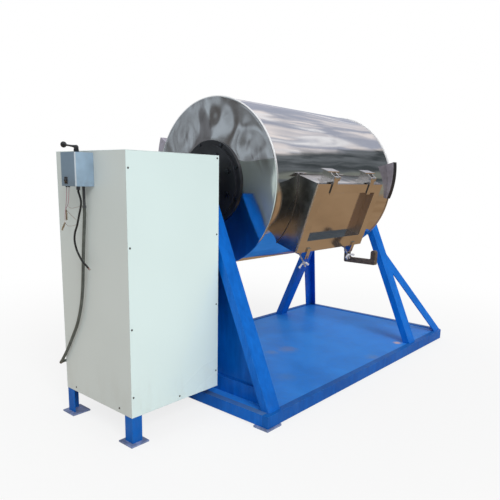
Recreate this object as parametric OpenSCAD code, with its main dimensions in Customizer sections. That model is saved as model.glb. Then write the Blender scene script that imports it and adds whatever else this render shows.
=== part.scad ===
// Drum mixer: a polished drum that turns on a blue frame, driven from a square cabinet.
// Lengths are in millimetres. X runs along the drum's axis, Z is up, and the front is -Y.
// The origin is on the floor, under the middle of the whole length and under the axis.

/* [Cabinet] */
// Width and depth of the square cabinet
cab_w = 600; // [590:5:640]
// How far the cabinet's top is above the drum's axis
cab_over_axis = 145; // [140:5:180]
// Gap between the floor and the panels
leg_drop = 145; // [130:5:160]
// Thickness of the sheet panels
panel_t = 2; // [1.5:0.5:3]
// Width of each side of the corner angles
upright_w = 60; // [50:1:70]
// Thickness of the corner angles
upright_t = 5; // [4:0.5:8]
// How far a foot plate reaches past its leg
foot_out = 24; // [10:1:30]
// Thickness of the foot plates
foot_t = 8; // [5:1:12]
// Height of the flat bars between the uprights
bar_h = 40; // [30:1:50]
// Thickness of the flat bars
bar_t = 5; // [4:0.5:8]
// Radius of a panel screw's head
screw_head_r = 5; // [4:0.5:7]
// Height of a panel screw's head
screw_head_h = 2.5; // [1:0.5:4]
// Radius of a panel screw's shank
screw_r = 2.5; // [2:0.5:3]

/* [Base] */
// Length of the base frame
base_len = 2390; // [2380:5:2500]
// Width of the base frame
base_w = 1400; // [1380:5:1500]
// How far the base reaches under the cabinet
base_under = 20; // [15:1:30]
// Height of the base's channel section
rail_h = 68; // [65:1:75]
// Width of the channel's flanges
rail_flange = 42; // [38:1:50]
// Thickness of the channel's web and flanges
rail_t = 5; // [4:0.5:7]
// Rounding of the two corners at the drum's far end
corner_r = 60; // [40:1:60]
// Thickness of the deck sheet
deck_t = 4; // [3:0.5:5]
// Height of the joists under the deck
joist_h = 46; // [30:1:46]
// Width of the joists
joist_w = 30; // [25:1:40]
// Wall of the joists
joist_wall = 3; // [2:0.5:4]
// Number of joists
joist_count = 5; // [3:1:7]
// Length of a floor pad
pad_len = 120; // [100:5:140]
// Width of a floor pad
pad_w = 100; // [80:5:120]
// Thickness of a floor pad
pad_t = 12; // [11:1:16]
// How far the pads show beyond the long rails
pad_out = 8; // [0:1:12]
// How far the near pads show beyond the near cross rail
pad_near_out = 12; // [0:1:20]
// How far the far pads stand in from the far end
pad_far_in = 40; // [30:1:80]
// Distance of the far pads from the base's long sides
pad_far_side = 120; // [60:5:200]

/* [Drum stands] */
// Width of a stand leg along the drum
leg_w = 100; // [90:5:110]
// Depth of a stand leg, square to its slope
leg_d = 50; // [40:1:56]
// Wall of the stand legs
leg_wall = 4; // [3:0.5:6]
// From the base's long side to the outer face of a leg at its foot
foot_in = 30; // [20:5:50]
// From the middle to the outer face of a leg at its top
top_half = 165; // [163:1:180]
// From the near end of the base to the near stand
near_leg_in = 40; // [38:1:50]
// Thickness of the plates that carry the bearings
seat_t = 12; // [8:1:16]
// Width of the lower rail of the near stand
near_rail_w = 35; // [30:1:45]
// Height of the lower rail of the near stand
near_rail_h = 90; // [80:1:100]
// Wall of the lower rail and of the far tie
tube_wall = 3; // [2:0.5:4]
// Thickness of the sheet that closes the near stand
stand_sheet_t = 3; // [2:0.5:4]
// How far the sheet stands in from the drum side of the legs
stand_sheet_in = 12; // [8:1:20]
// Side of the square tie between the far legs
tie_w = 50; // [40:1:60]
// Height of the tie's underside above the floor
tie_z = 900; // [850:5:940]
// Length of the brace's top edge up the leg
brace_rise = 730; // [700:5:760]
// Length of the brace's foot along the rail
brace_run = 495; // [480:5:500]
// Width of the braces
brace_w = 88; // [70:1:95]
// Thickness of the braces
brace_t = 8; // [6:1:10]

/* [Drum] */
// Height of the drum's axis above the floor
axis_h = 1300; // [1285:1:1305]
// Outer radius of the drum
drum_r = 500; // [490:1:510]
// Length of the drum
drum_len = 1350; // [1340:5:1400]
// Thickness of the drum's shell
shell_t = 3; // [2:0.5:4]
// Gap between the near stand and the drum
near_gap = 130; // [120:5:150]
// Gap between the drum and the far stand
far_gap = 165; // [160:5:180]
// Thickness of the end plates
end_t = 4; // [3:0.5:6]
// How far the end plates bulge
dish = 8; // [4:1:12]
// Radius of the flat middle of an end plate
dish_r = 258; // [252:1:300]
// Width of the flat edge of an end plate
dish_edge = 10; // [8:1:20]
// Radius of the rolled bead round each rim
bead_r = 6; // [5:0.5:8]
// Height of the mixing blades
blade_h = 60; // [40:1:80]
// Thickness of the mixing blades
blade_t = 6; // [4:1:8]
// Clear length at each end of the mixing blades
blade_end = 60; // [40:5:100]
// Number of places for blades round the drum, one of which is the door
blade_places = 5; // [5:1:6]

/* [Shaft and hubs] */
// Radius of the drum's shafts
shaft_r = 30; // [25:1:32]
// Radius of the hub's back ring
hub_back_r = 249; // [246:1:252]
// Thickness of the hub's back ring
hub_back_t = 12; // [8:1:16]
// Radius of the hub's front disc
hub_front_r = 222; // [215:1:224]
// Thickness of the hub's front disc
hub_front_t = 14; // [8:1:16]
// Radius of the hub's boss
hub_boss_r = 70; // [50:1:80]
// Length of the hub's boss
hub_boss_len = 26; // [10:1:30]
// Radius of the circle of large hub bolts
hub_bolt_circle = 172; // [160:1:180]
// Across the flats of the large hub bolts
hub_bolt_flats = 24; // [20:1:28]
// Radius of the large hub bolts' shanks
hub_bolt_r = 8; // [6:0.5:9]
// Across the flats of the small hub bolts
rim_bolt_flats = 16; // [13:1:17]
// Radius of the small hub bolts' shanks
rim_bolt_r = 5; // [4:0.5:6]
// Number of bolts in each circle
hub_bolts_n = 8; // [6:1:12]
// Height of the bearing's axis above its seat
bearing_h = 69.8; // [68:0.1:76]
// Length of the bearing's base
bearing_len = 239; // [235:1:260]
// Width of the bearing's base
bearing_w = 70; // [64:1:76]
// Thickness of the bearing's base
bearing_foot_t = 18; // [14:1:22]
// Outer radius of the bearing's body
bearing_r = 68; // [65:1:68]
// Width of the bearing's body
bearing_body_w = 44; // [38:1:48]
// Radius of the bearing's insert
insert_r = 55; // [50:1:58]
// Width of the insert's inner ring
insert_w = 51; // [48:1:56]
// Distance between the bearing's bolts
bearing_bolt_gap = 184; // [180:1:188]
// Radius of the bearing's bolts
bearing_bolt_r = 8; // [6:0.5:8]
// Across the flats of the bearing's bolts
bearing_bolt_flats = 24; // [20:1:24]

/* [Door] */
// How far the door faces below the horizontal, in degrees
door_tilt = 19; // [10:1:25]
// Length of the door's neck along the drum
neck_w = 750; // [740:5:800]
// Height of the door's neck round the drum
neck_h = 432; // [425:1:440]
// How far the neck's middle is from the drum's middle
neck_shift = 105; // [90:5:120]
// Wall of the neck
neck_t = 4; // [3:0.5:5]
// Distance of the door's front from the drum's axis
door_d = 610; // [608:1:620]
// Thickness of the door's rim
door_t = 8; // [6:1:8]
// Width of the lip inside the neck
lip_w = 40; // [35:1:45]
// Thickness of the gasket
gasket_t = 5; // [3:0.5:6]
// Width of the gasket
gasket_w = 24; // [15:1:26]
// Gap between the neck's outer edge and the gasket
gasket_in = 12; // [8:1:14]
// Margin beside the door's sunk panel
pan_side = 72; // [68:1:80]
// Margin above the sunk panel
pan_above = 56; // [54:1:60]
// Margin below the sunk panel
pan_below = 74; // [66:1:80]
// Depth of the sunk panel
pan_depth = 50; // [40:1:55]
// Thickness of the sunk panel's sheet
pan_t = 4; // [3:0.5:5]
// Distance of the hinges and brackets from the neck's middle
hinge_shift = 215; // [205:1:225]
// Width of a hinge strap
strap_w = 44; // [40:1:50]
// Thickness of a hinge strap
strap_t = 6; // [5:1:8]
// How far the hinge pin stands off the neck
hinge_off = 34; // [33:1:38]
// Radius of the hinge pins
pin_r = 6; // [4:0.5:7]
// Radius of the strap's barrel
barrel_r = 12; // [10:1:12]
// Thickness of the hinge's cheeks
cheek_t = 8; // [6:1:10]
// Width of the hinge bracket's plates
bracket_w = 120; // [110:1:140]
// Thickness of the hinge bracket's plates
bracket_t = 6; // [4:1:8]

/* [Door clamps] */
// Distance of the swing bolts from the neck's middle
clamp_shift = 260; // [250:1:265]
// Length of a swing bolt from its pivot
rod_len = 102; // [98:1:110]
// Radius of a swing bolt
rod_r = 5; // [4:0.5:6]
// Radius of a swing bolt's eye
eye_r = 10; // [9:0.5:11]
// Thickness of a swing bolt's eye
eye_t = 14; // [12:1:16]
// Radius of the clevis pins
clevis_pin_r = 4; // [3:0.5:5]
// How far the clevis pin stands off the neck
clevis_off = 29; // [28:1:32]
// Distance of the clevis pin behind the door's front
clevis_back = 60; // [58:1:62]
// Angle of a resting swing bolt from its closed place
bolt_rest = 38; // [36:1:71]
// Radius of a wing nut's hub
nut_r = 10; // [9:0.5:11]
// Height of a wing nut's hub
nut_h = 14; // [12:1:16]
// Reach of a wing nut's three wings
wing_reach = 40; // [34:1:41]

/* [Latch lever] */
// Distance of the lever from the neck's middle
latch_shift = 322; // [318:1:326]
// Width of the lever
latch_w = 34; // [28:1:36]
// Reach of the lever from its pivot
latch_reach = 222; // [200:1:225]
// Drop of the lever below its pivot
latch_drop = 74; // [68:1:78]
// Height of the upturned end
latch_up = 98; // [80:1:105]
// Thickness of the lever's arm
latch_t = 27; // [22:1:30]

/* [Rim lugs] */
// Width of a rim lug along the drum
lug_w = 50; // [40:1:60]
// Height of a rim lug at its blunt end
lug_h = 56; // [50:1:70]
// Height of a rim lug at its thin end
lug_thin = 8; // [7:1:12]

/* [Drive] */
// Pitch radius of the pulley on the drum's shaft
big_pulley_r = 110; // [100:1:112]
// Pitch radius of the motor's pulley
small_pulley_r = 55; // [50:1:60]
// Distance between the two pulleys' axes
pulley_drop = 600; // [590:5:640]
// From the drum side of the cabinet to the pulleys' middle
pulley_in = 75; // [70:1:80]
// Distance between the two belts
belt_gap = 19; // [18.5:0.5:21]
// Width of a belt at its back
belt_w = 17; // [15:0.5:17]
// Thickness of a belt
belt_t = 11; // [9:0.5:12]
// Height of the gearbox's shaft above its feet
gear_axis = 110; // [105:1:120]
// Length of the gearbox
gear_len = 180; // [160:5:190]
// Width of the gearbox
gear_w = 190; // [180:5:200]
// Length of the motor
motor_len = 190; // [170:5:200]
// Radius of the motor
motor_r = 80; // [76:1:84]
// Length of the fan's cover
fan_cover_len = 55; // [50:1:60]
// Thickness of the motor's shelf
shelf_t = 8; // [6:1:10]

/* [Control box] */
// Depth of the box, out from the cabinet
box_d = 100; // [90:5:110]
// Width of the box
box_w = 130; // [120:5:140]
// Height of the box
box_h = 160; // [150:5:170]
// Distance from the cabinet's top to the box's top
box_below = 11; // [6:1:20]
// How far the box's middle is behind the cabinet's middle
box_shift = 23; // [18:1:28]
// Rounding of the box's upright edges
box_r = 8; // [5:1:12]
// Thickness of the box's sheet
box_t = 1.5; // [1:0.5:2]
// How far the rocker stands out
rocker_proud = 6; // [4:0.5:7]
// Width of the rocker
rocker_w = 20; // [18:1:24]
// Radius of the rocker's rounded face
rocker_r = 14; // [12:0.5:16]
// Radius of the lever's boss
boss_r = 12.5; // [11:0.5:14]
// Height of the lever's boss
boss_h = 36; // [30:1:40]
// Length of the lever's arm
arm_len = 97; // [90:1:105]
// Radius of the lever's arm
arm_r = 5; // [4:0.5:6]
// Radius of the ball on the lever
ball_r = 15; // [13:0.5:17]

/* [Clearances] */
// Gap between pieces that are seated on a round surface
seat_gap = 0.2; // [0.1:0.05:0.3]
// Gap round a shaft in its hole
run_gap = 0.05; // [0.03:0.01:0.1]
// Gap between pieces that move past each other
side_gap = 0.5; // [0.4:0.1:1]

/* [Hidden] */
$fn = 96;

// One overrun serves every cut.
over = 10;

// Places along X
overall_len = rocker_proud + box_d + cab_w - base_under + base_len;
cab_x = -overall_len / 2 + rocker_proud + box_d;
cab_x1 = cab_x + cab_w;
cab_half = cab_w / 2;
cab_top = axis_h + cab_over_axis;
cab_h = cab_top - leg_drop;
base_x = cab_x1 - base_under;
base_x1 = base_x + base_len;
base_half = base_w / 2;
near_leg_x = base_x + near_leg_in;
drum_x = near_leg_x + leg_w + near_gap;
drum_x1 = drum_x + drum_len;
far_leg_x = drum_x1 + far_gap;
near_bearing_x = near_leg_x + leg_w / 2;
far_bearing_x = far_leg_x + leg_w / 2;

// Heights
rail_top = pad_t + rail_h;
deck_top = rail_top - rail_t;
seat_top = axis_h - bearing_h;
seat_under = seat_top - seat_t;
near_rail_top = deck_top + near_rail_h;

// The slope of the stand legs
foot_half = base_half - foot_in;
lean = atan((foot_half - top_half) / (seat_under - rail_top));
slope_len = (seat_under - rail_top) / cos(lean);
leg_depth_flat = leg_d / cos(lean);
brace_angle = atan(brace_rise / brace_run);

// The cabinet's frame
in_x = cab_x + panel_t;
in_x1 = cab_x1 - panel_t;
in_half = cab_half - panel_t;
pulley_x = cab_x1 - pulley_in;
drive_z = axis_h - pulley_drop;
shelf_top = drive_z - gear_axis;
stub_w = 60;
stub_y = 120;
stub_wall = 3;
shaft_hole_gap = 15;
shaft_hole_r = shaft_r + shaft_hole_gap;

// Panel screws, as shares of the panel they hold
left_screw_shares = [0.938, 0.654, 0.349, 0.082];
right_screw_shares = [0.988, 0.676, 0.375, 0.074];
low_screw_share = 0.037;
end_screw_shares = [0.342, -0.327];
end_screw_z = 25;
screw_in = 12;

// Drum and door
neck_x = (drum_x + drum_x1) / 2 - neck_shift;
cap_t = end_t / 2;
hub_face = dish + hub_back_t + hub_front_t;
shaft_past = 12;
rim_bolt_circle = (hub_front_r + hub_back_r) / 2;
bolt_head_h = 10;
door_back = door_d - door_t;
gasket_back = door_back - gasket_t;
hinge_y = neck_h / 2 + hinge_off;
hinge_z = door_back + door_t / 2;
bracket_back = 80;
roof_gap = 14;
strap_lap = 66;
clamp_y = -(neck_h / 2 + clevis_off);
clamp_z = door_d - clevis_back;
tab_t = 8;
tab_reach = 44;
tab_lap = 26;
tab_w = 34;
nut_clear = 2;
nut_seat = clevis_back + tab_t + nut_clear;
ear_t = 6;
ear_w = 30;
wing_t = 7;
wing_count = 3;
wing_rise = 10;
latch_off = 71;
latch_back = 46;
latch_y = -(neck_h / 2 + latch_off);
latch_z = door_d - latch_back;
latch_pin_r = 6;
latch_hub_r = 16;
latch_cheek_w = 44;
latch_end_t = 26;

// Angles of the rim lugs above the front horizontal: thin end, blunt end
far_lug_angles = [-11, 17];
near_lug_angles = [178, 150];
lug_steps = 12;
lug_foot_w = lug_w - 2 * bead_r - 2 * side_gap;

// Drive
groove_slope = tan(20);
belt_back = 4.2;
belt_fit = 0.35;
groove_deep = 2;
belt_steps = 36;
pulley_flange = 4;
pulley_w = belt_gap + belt_w + 2 * pulley_flange;
pulley_lip = 1;
belt_angle = asin((big_pulley_r - small_pulley_r) / pulley_drop);
out_shaft_r = 19;
out_shaft_in = 40;
gear_gap = 23;
gear_x1 = pulley_x - pulley_w / 2 - gear_gap;
gear_x = gear_x1 - gear_len;
motor_flange_t = 12;
gear_foot_t = 16;
cover_lap = 10;
motor_x1 = gear_x;
motor_x = motor_x1 - motor_len;
shield_t = 12;
stator_in = 60;
rotor_r = 59;
rotor_len = 110;
motor_shaft_r = 12;
fan_r = 66;
fan_t = 22;
cover_t = 2;
vent_r = 8;
fin_h = 8;
fin_t = 4;
fin_count = 20;
fin_free = 40;
fin_step = (360 - 2 * fin_free) / (fin_count - 1);
terminal_w = 90;
terminal_h = 46;

// Control box
box_x = cab_x - box_d;
box_y = box_shift;
box_top = cab_top - box_below;
box_z = box_top - box_h;
lever_x = cab_x - box_d / 2;
spindle_r = 6;
spindle_in = 20;
lever_yaw = 6;
lever_rise = 7;
arm_below = 9;
arm_z = boss_h - arm_below;
rocker_aside = 18;
rocker_up = 27;
rocker_y = box_shift + rocker_aside;
rocker_z = box_z + rocker_up;
rocker_face_r = rocker_r - side_gap;
rocker_deep = rocker_face_r - rocker_proud;
bezel_t = 2;
bezel_edge = 3;
nipple_r = 7;
nipple_len = 94;
coupling_r = 10;
coupling_len = 12;
conduit_r = 8;
cable_r = 5;
lead_r = 1.25;
gland_r = 9;
gland_len = 18;
grommet_r = 5;
grommet_len = 6;
back_gland_r = 13;
back_gland_len = 28;

// Routes of the cords, in points along them, from the corner where the box's foot meets the cabinet
conduit_route = [
    [-18, 24, -106], [-18, 24, -134], [-18, 36, -224], [-18, 49, -324],
    [-18, 58, -414], [-18, 70, -514], [-18, 91, -611], [-18, 131, -713],
    [-18, 192, -810], [-18, 254, -898], [-18, 306, -962], [-8, 346, -992],
    [18, 370, -998], [46, 368, -996], [60, 352, -994], [60, 328, -994]
];
cable_route = [
    [-45, 28, -18], [-45, 28, -28], [-45, 14, -54], [-45, 8, -79],
    [-45, 16, -109], [-45, 31, -143], [-45, 53, -194], [-45, 75, -232],
    [-45, 82, -273], [-45, 63, -322], [-45, 20, -369], [-45, -10, -386],
    [-45, -32, -398]
];
upper_lead_route = [
    [-80, 52, -6], [-80, 52, -10], [-80, 56, -34], [-80, 60, -59],
    [-80, 66, -84], [-80, 80, -102], [-80, 86, -112], [-80, 86, -116]
];
lower_lead_route = [
    [-87, 62, -6], [-87, 62, -10], [-87, 66, -44], [-87, 72, -79],
    [-87, 80, -109], [-87, 88, -139], [-87, 90, -164], [-87, 90, -176],
    [-87, 90, -180]
];
conduit_rings = 30;
cable_rings = 20;
lead_rings = 14;
upper_clip_at = [-80, 86, -116];
lower_clip_at = [-87, 90, -180];
upper_clip_turn = 0;
lower_clip_turn = 40;
clip_len = 52;
clip_w = 6;
clip_half_h = 3.6;
clip_gap = 0.4;
clip_pin_at = 20;
clip_pin_r = 1;
clip_pin_up = 2;
clip_ear_t = 0.8;

// The smooth curve through a route's points, and the tube swept along it.
function curve_at(p, i, t) =
    let (
        a = p[max(i - 1, 0)], b = p[i],
        c = p[min(i + 1, len(p) - 1)], d = p[min(i + 2, len(p) - 1)]
    )
    b + t * (c - a) / 2 + t * t * (a - 2.5 * b + 2 * c - d / 2) + t * t * t * (-a + 3 * b - 3 * c + d) / 2;
function route_point(p, u) =
    let (i = min(floor(u), len(p) - 2))
    (i == 0 || i == len(p) - 2) ? p[i] + (u - i) * (p[i + 1] - p[i]) : curve_at(p, i, u - i);
function unit(v) = v / norm(v);
function route_rings(p, n) =
    concat([p[0]], [for (i = [0 : n - 1]) route_point(p, 1 + i * (len(p) - 3) / (n - 1))], [p[len(p) - 1]]);
function ring_ways(q) =
    [for (i = [0 : len(q) - 1]) unit(q[min(i + 1, len(q) - 1)] - q[max(i - 1, 0)])];
function carried(t, n, i) =
    i == len(t) ? [] :
    let (m = unit(n - (n * t[i]) * t[i]))
    concat([m], carried(t, m, i + 1));

module tube(route, r, rings, sides) {
    q = route_rings(route, rings);
    t = ring_ways(q);
    side = carried(t, [1, 0, 0], 0);
    last = len(q) - 1;
    points = [
        for (i = [0 : last], k = [0 : sides - 1])
            q[i] + r * (cos(360 * k / sides) * side[i] + sin(360 * k / sides) * cross(t[i], side[i]))
    ];
    walls = [
        for (i = [0 : last - 1], k = [0 : sides - 1], h = [0, 1])
            let (a = i * sides + k, b = i * sides + (k + 1) % sides)
            h == 0 ? [a, a + sides, b] : [b, a + sides, b + sides]
    ];
    first_cap = [[for (k = [0 : sides - 1]) k]];
    last_cap = [[for (k = [sides - 1 : -1 : 0]) last * sides + k]];
    polyhedron(points, concat(first_cap, walls, last_cap));
}

// An outline in Y and Z, drawn out along X.
module along_x(x, len) {
    translate([x, 0, 0]) rotate([90, 0, 90]) linear_extrude(len) children();
}

// A rod along X round a point in Y and Z.
module x_rod(x, len, y, z, r) {
    translate([x, y, z]) rotate([0, 90, 0]) cylinder(r = r, h = len);
}

// A block given by its low corner and its high corner.
module block(low, high) {
    translate(low) cube(high - low);
}

// A hexagon head given across its flats.
module hex_head(flats, h) {
    cylinder(r = flats / 2 / cos(30), h = h, $fn = 6);
}

// The door's own frame: X along the drum, Y up along the door, Z out of the door.
module door_frame() {
    translate([neck_x, 0, axis_h]) rotate([90 + door_tilt, 0, 0]) children();
}

// The frame in which a leg's outer face is flat: Y runs up the slope, Z points out.
module slope_frame() {
    translate([0, -foot_half, rail_top]) rotate([90 - lean, 0, 0]) children();
}

module both_sides() {
    for (m = [0, 1]) mirror([0, m, 0]) children();
}

// Base frame
module base_plan(inset) {
    translate([base_x + inset, -base_half + inset])
        square([base_len - corner_r - inset, base_w - 2 * inset]);
    translate([base_x + inset, -base_half + corner_r])
        square([base_len - 2 * inset, base_w - 2 * corner_r]);
    for (s = [-1, 1])
        translate([base_x1 - corner_r, s * (base_half - corner_r)]) circle(corner_r - inset);
}

module base_ring() {
    difference() {
        translate([0, 0, pad_t]) linear_extrude(rail_h) base_plan(0);
        translate([0, 0, pad_t + rail_t]) linear_extrude(rail_h - 2 * rail_t) base_plan(rail_t);
        block(
            [base_x + rail_flange, -base_half + rail_flange, pad_t - over],
            [base_x1 - rail_flange, base_half - rail_flange, rail_top + over]
        );
    }
}

module between_long_rails() {
    block(
        [base_x - over, -base_half + rail_flange, 0],
        [base_x1 + over, base_half - rail_flange, rail_top + over]
    );
}

module base_long_rails() {
    color("royalblue") difference() {
        base_ring();
        between_long_rails();
    }
}

module base_cross_rails() {
    color("royalblue") intersection() {
        base_ring();
        between_long_rails();
    }
    pitch = (base_len - 2 * rail_flange) / joist_count;
    color("royalblue") for (i = [0 : joist_count - 1])
        translate([base_x + rail_flange + (i + 0.5) * pitch - joist_w / 2, 0, 0]) joist();
}

module joist() {
    low = deck_top - deck_t - joist_h;
    reach = base_half - rail_t;
    difference() {
        block([0, -reach, low], [joist_w, reach, low + joist_h]);
        block(
            [joist_wall, -reach - over, low + joist_wall],
            [joist_w - joist_wall, reach + over, low + joist_h - joist_wall]
        );
    }
}

module deck_plate() {
    color("dodgerblue") translate([0, 0, deck_top - deck_t]) linear_extrude(deck_t)
        base_plan(rail_t + side_gap);
}

// A pad from its low X and its outer side.
module floor_pad(x, out) {
    block([x, out - pad_w, 0], [x + pad_len, out, pad_t]);
}

module base_pads() {
    color("slategray") both_sides() {
        floor_pad(base_x - pad_near_out, base_half + pad_out);
        floor_pad(base_x1 - pad_far_in - pad_len, base_half - pad_far_side);
    }
}

// Drum stands
module stand_space(x, len, low) {
    block([x, -base_half, low], [x + len, base_half, seat_under]);
}

module stand_leg(x) {
    difference() {
        intersection() {
            slope_frame() difference() {
                block([x, -leg_d, -leg_d], [x + leg_w, slope_len + leg_d, 0]);
                block(
                    [x + leg_wall, -leg_d - over, -leg_d + leg_wall],
                    [x + leg_w - leg_wall, slope_len + leg_d + over, -leg_wall]
                );
            }
            stand_space(x, leg_w, deck_top);
        }
        base_ring();
    }
}

// Half the width between the legs at a height.
function inside_half(z) = foot_half - (z - rail_top) * tan(lean) - leg_depth_flat;

module between_legs(low, high) {
    polygon([
        [-inside_half(low), low], [inside_half(low), low],
        [inside_half(high), high], [-inside_half(high), high]
    ]);
}

module tube_between_legs(x, wide, low, high) {
    difference() {
        along_x(x, wide) between_legs(low, high);
        block(
            [x + tube_wall, -foot_half, low + tube_wall],
            [x + wide - tube_wall, foot_half, high - tube_wall]
        );
    }
}

module near_stand_legs() {
    color("dodgerblue") both_sides() stand_leg(near_leg_x);
}

module far_stand_legs() {
    color("dodgerblue") both_sides() stand_leg(far_leg_x);
}

module near_stand_rail() {
    color("royalblue")
        tube_between_legs(near_leg_x + leg_w - near_rail_w, near_rail_w, deck_top, near_rail_top);
}

module near_stand_panel() {
    color("royalblue") along_x(near_leg_x + leg_w - stand_sheet_in - stand_sheet_t, stand_sheet_t)
        between_legs(near_rail_top, seat_under);
}

module far_stand_tie() {
    color("royalblue") tube_between_legs(far_bearing_x - tie_w / 2, tie_w, tie_z, tie_z + tie_w);
}

module far_stand_braces() {
    x = far_leg_x + leg_w;
    far = brace_run + over;
    color("dodgerblue") both_sides() difference() {
        intersection() {
            slope_frame() union() {
                translate([x, 0, -brace_t]) linear_extrude(brace_t)
                    brace_strip(brace_w);
                translate([x, 0, -leg_d]) linear_extrude(leg_d) brace_strip(brace_t);
            }
            stand_space(x, far, deck_top);
        }
        base_ring();
    }
}

// A strip along the brace's upper edge, carried on past both ends of the edge.
module brace_strip(wide) {
    more = leg_d;
    translate([brace_run, 0]) rotate(180 - brace_angle)
        translate([-more, 0]) square([brace_rise / sin(brace_angle) + 2 * more, wide]);
}

module bearing_seats() {
    color("dodgerblue") for (x = [near_leg_x, far_leg_x]) difference() {
        block([x, -top_half, seat_under], [x + leg_w, top_half, seat_top]);
        for (s = [-1, 1]) translate([x + leg_w / 2, s * bearing_bolt_gap / 2, seat_under - over])
            cylinder(r = bearing_bolt_r + run_gap, h = seat_t + 2 * over);
    }
}

module bearing_housings() {
    end_r = bearing_w / 2;
    color("darkgreen") for (x = [near_bearing_x, far_bearing_x]) difference() {
        union() {
            block(
                [x - end_r, -bearing_len / 2 + end_r, seat_top],
                [x + end_r, bearing_len / 2 - end_r, seat_top + bearing_foot_t]
            );
            for (s = [-1, 1]) translate([x, s * (bearing_len / 2 - end_r), seat_top])
                cylinder(r = end_r, h = bearing_foot_t);
            x_rod(x - bearing_body_w / 2, bearing_body_w, 0, axis_h, bearing_r);
            block(
                [x - bearing_body_w / 2, -bearing_r, seat_top],
                [x + bearing_body_w / 2, bearing_r, axis_h]
            );
            translate([x, 0, axis_h]) cylinder(r = bearing_body_w / 8, h = bearing_r + bearing_w / 7);
        }
        x_rod(x - bearing_w, 2 * bearing_w, 0, axis_h, insert_r);
        for (s = [-1, 1]) translate([x, s * bearing_bolt_gap / 2, seat_top - over])
            cylinder(r = bearing_bolt_r + run_gap, h = bearing_foot_t + 2 * over);
    }
}

module mounting_bolts() {
    nut_t = bearing_bolt_flats / 2;
    color("silver") for (x = [near_bearing_x, far_bearing_x], s = [-1, 1])
        translate([x, s * bearing_bolt_gap / 2, 0]) {
            translate([0, 0, seat_top + bearing_foot_t]) hex_head(bearing_bolt_flats, bolt_head_h);
            translate([0, 0, seat_under - nut_t])
                cylinder(r = bearing_bolt_r, h = nut_t + seat_t + bearing_foot_t);
            translate([0, 0, seat_under - nut_t]) difference() {
                hex_head(bearing_bolt_flats, nut_t);
                translate([0, 0, -over]) cylinder(r = bearing_bolt_r + run_gap, h = nut_t + 2 * over);
            }
        }
}

// Cabinet
module corner_angle(low) {
    difference() {
        block([0, 0, low], [upright_w, upright_w, cab_top - panel_t]);
        block([upright_t, upright_t, low - over], [upright_w + over, upright_w + over, cab_top]);
    }
}

module cabinet_uprights() {
    color("royalblue") both_sides() {
        translate([in_x, -in_half, 0]) corner_angle(foot_t);
        translate([in_x1, -in_half, 0]) mirror([1, 0, 0]) corner_angle(leg_drop);
    }
}

module cabinet_feet() {
    side = upright_w + 2 * foot_out;
    color("slategray") both_sides()
        translate([in_x - foot_out, -in_half - foot_out, 0]) cube([side, side, foot_t]);
}

module cabinet_rails() {
    color("royalblue") for (z = [leg_drop, shelf_top - shelf_t - bar_h, cab_top - panel_t - bar_h]) {
        both_sides() block(
            [in_x + upright_w, -in_half, z],
            [in_x1 - upright_w, -in_half + bar_t, z + bar_h]
        );
        for (x = [in_x, in_x1 - bar_t]) block(
            [x, -in_half + upright_w, z],
            [x + bar_t, in_half - upright_w, z + bar_h]
        );
    }
    color("royalblue") both_sides() difference() {
        block([base_x, stub_y, rail_top], [in_x1, stub_y + stub_w, leg_drop]);
        block(
            [base_x + stub_wall, stub_y + stub_wall, rail_top - over],
            [in_x1 - stub_wall, stub_y + stub_w - stub_wall, leg_drop + over]
        );
    }
}

// Every screw of a panel is drawn at its place: with cut true, the hole for it.
module panel_screw(cut) {
    hole = cut ? run_gap : 0;
    length = cut ? panel_t + over : panel_t;
    translate([0, 0, -length]) cylinder(r = screw_r + hole, h = length + (cut ? over : 0));
    if (!cut) cylinder(r = screw_head_r, h = screw_head_h);
}

module front_screws(cut) {
    for (s = left_screw_shares) front_screw(screw_in, s, cut);
    for (s = right_screw_shares) front_screw(cab_w - screw_in - panel_t, s, cut);
    front_screw(cab_w / 2 + screw_in, low_screw_share / 2, cut);
}

module front_screw(x, share, cut) {
    translate([cab_x + x, -cab_half, leg_drop + share * cab_h]) rotate([90, 0, 0]) panel_screw(cut);
}

module end_screws(cut) {
    for (s = end_screw_shares)
        translate([cab_x, s * cab_w, leg_drop + end_screw_z]) rotate([0, -90, 0]) panel_screw(cut);
}

module cabinet_front_panel() {
    color("honeydew") difference() {
        block([cab_x, -cab_half, leg_drop], [cab_x1, -in_half, cab_top - panel_t]);
        front_screws(true);
    }
}

module cabinet_back_panel() {
    color("honeydew") block([cab_x, in_half, leg_drop], [cab_x1, cab_half, cab_top - panel_t]);
}

module cabinet_end_panel() {
    color("honeydew") difference() {
        block([cab_x, -in_half, leg_drop], [in_x, in_half, cab_top - panel_t]);
        end_screws(true);
    }
}

module cabinet_drum_side_panel() {
    color("honeydew") difference() {
        block([in_x1, -in_half, leg_drop], [cab_x1, in_half, cab_top - panel_t]);
        x_rod(in_x1 - over, panel_t + 2 * over, 0, axis_h, shaft_hole_r);
    }
}

module cabinet_top_panel() {
    color("honeydew") block([cab_x, -cab_half, cab_top - panel_t], [cab_x1, cab_half, cab_top]);
}

module cabinet_screws() {
    color("dimgray") {
        front_screws(false);
        end_screws(false);
    }
}

module motor_shelf() {
    corner = upright_w + side_gap;
    color("royalblue") difference() {
        block([in_x + side_gap, -in_half + side_gap, shelf_top - shelf_t],
            [in_x1 - side_gap, in_half - side_gap, shelf_top]);
        for (x = [in_x, in_x1 - corner]) both_sides() block(
            [x - side_gap, in_half - corner, shelf_top - shelf_t - over],
            [x + corner + (x > in_x ? side_gap : 0), in_half + over, shelf_top + over]
        );
    }
}

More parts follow.
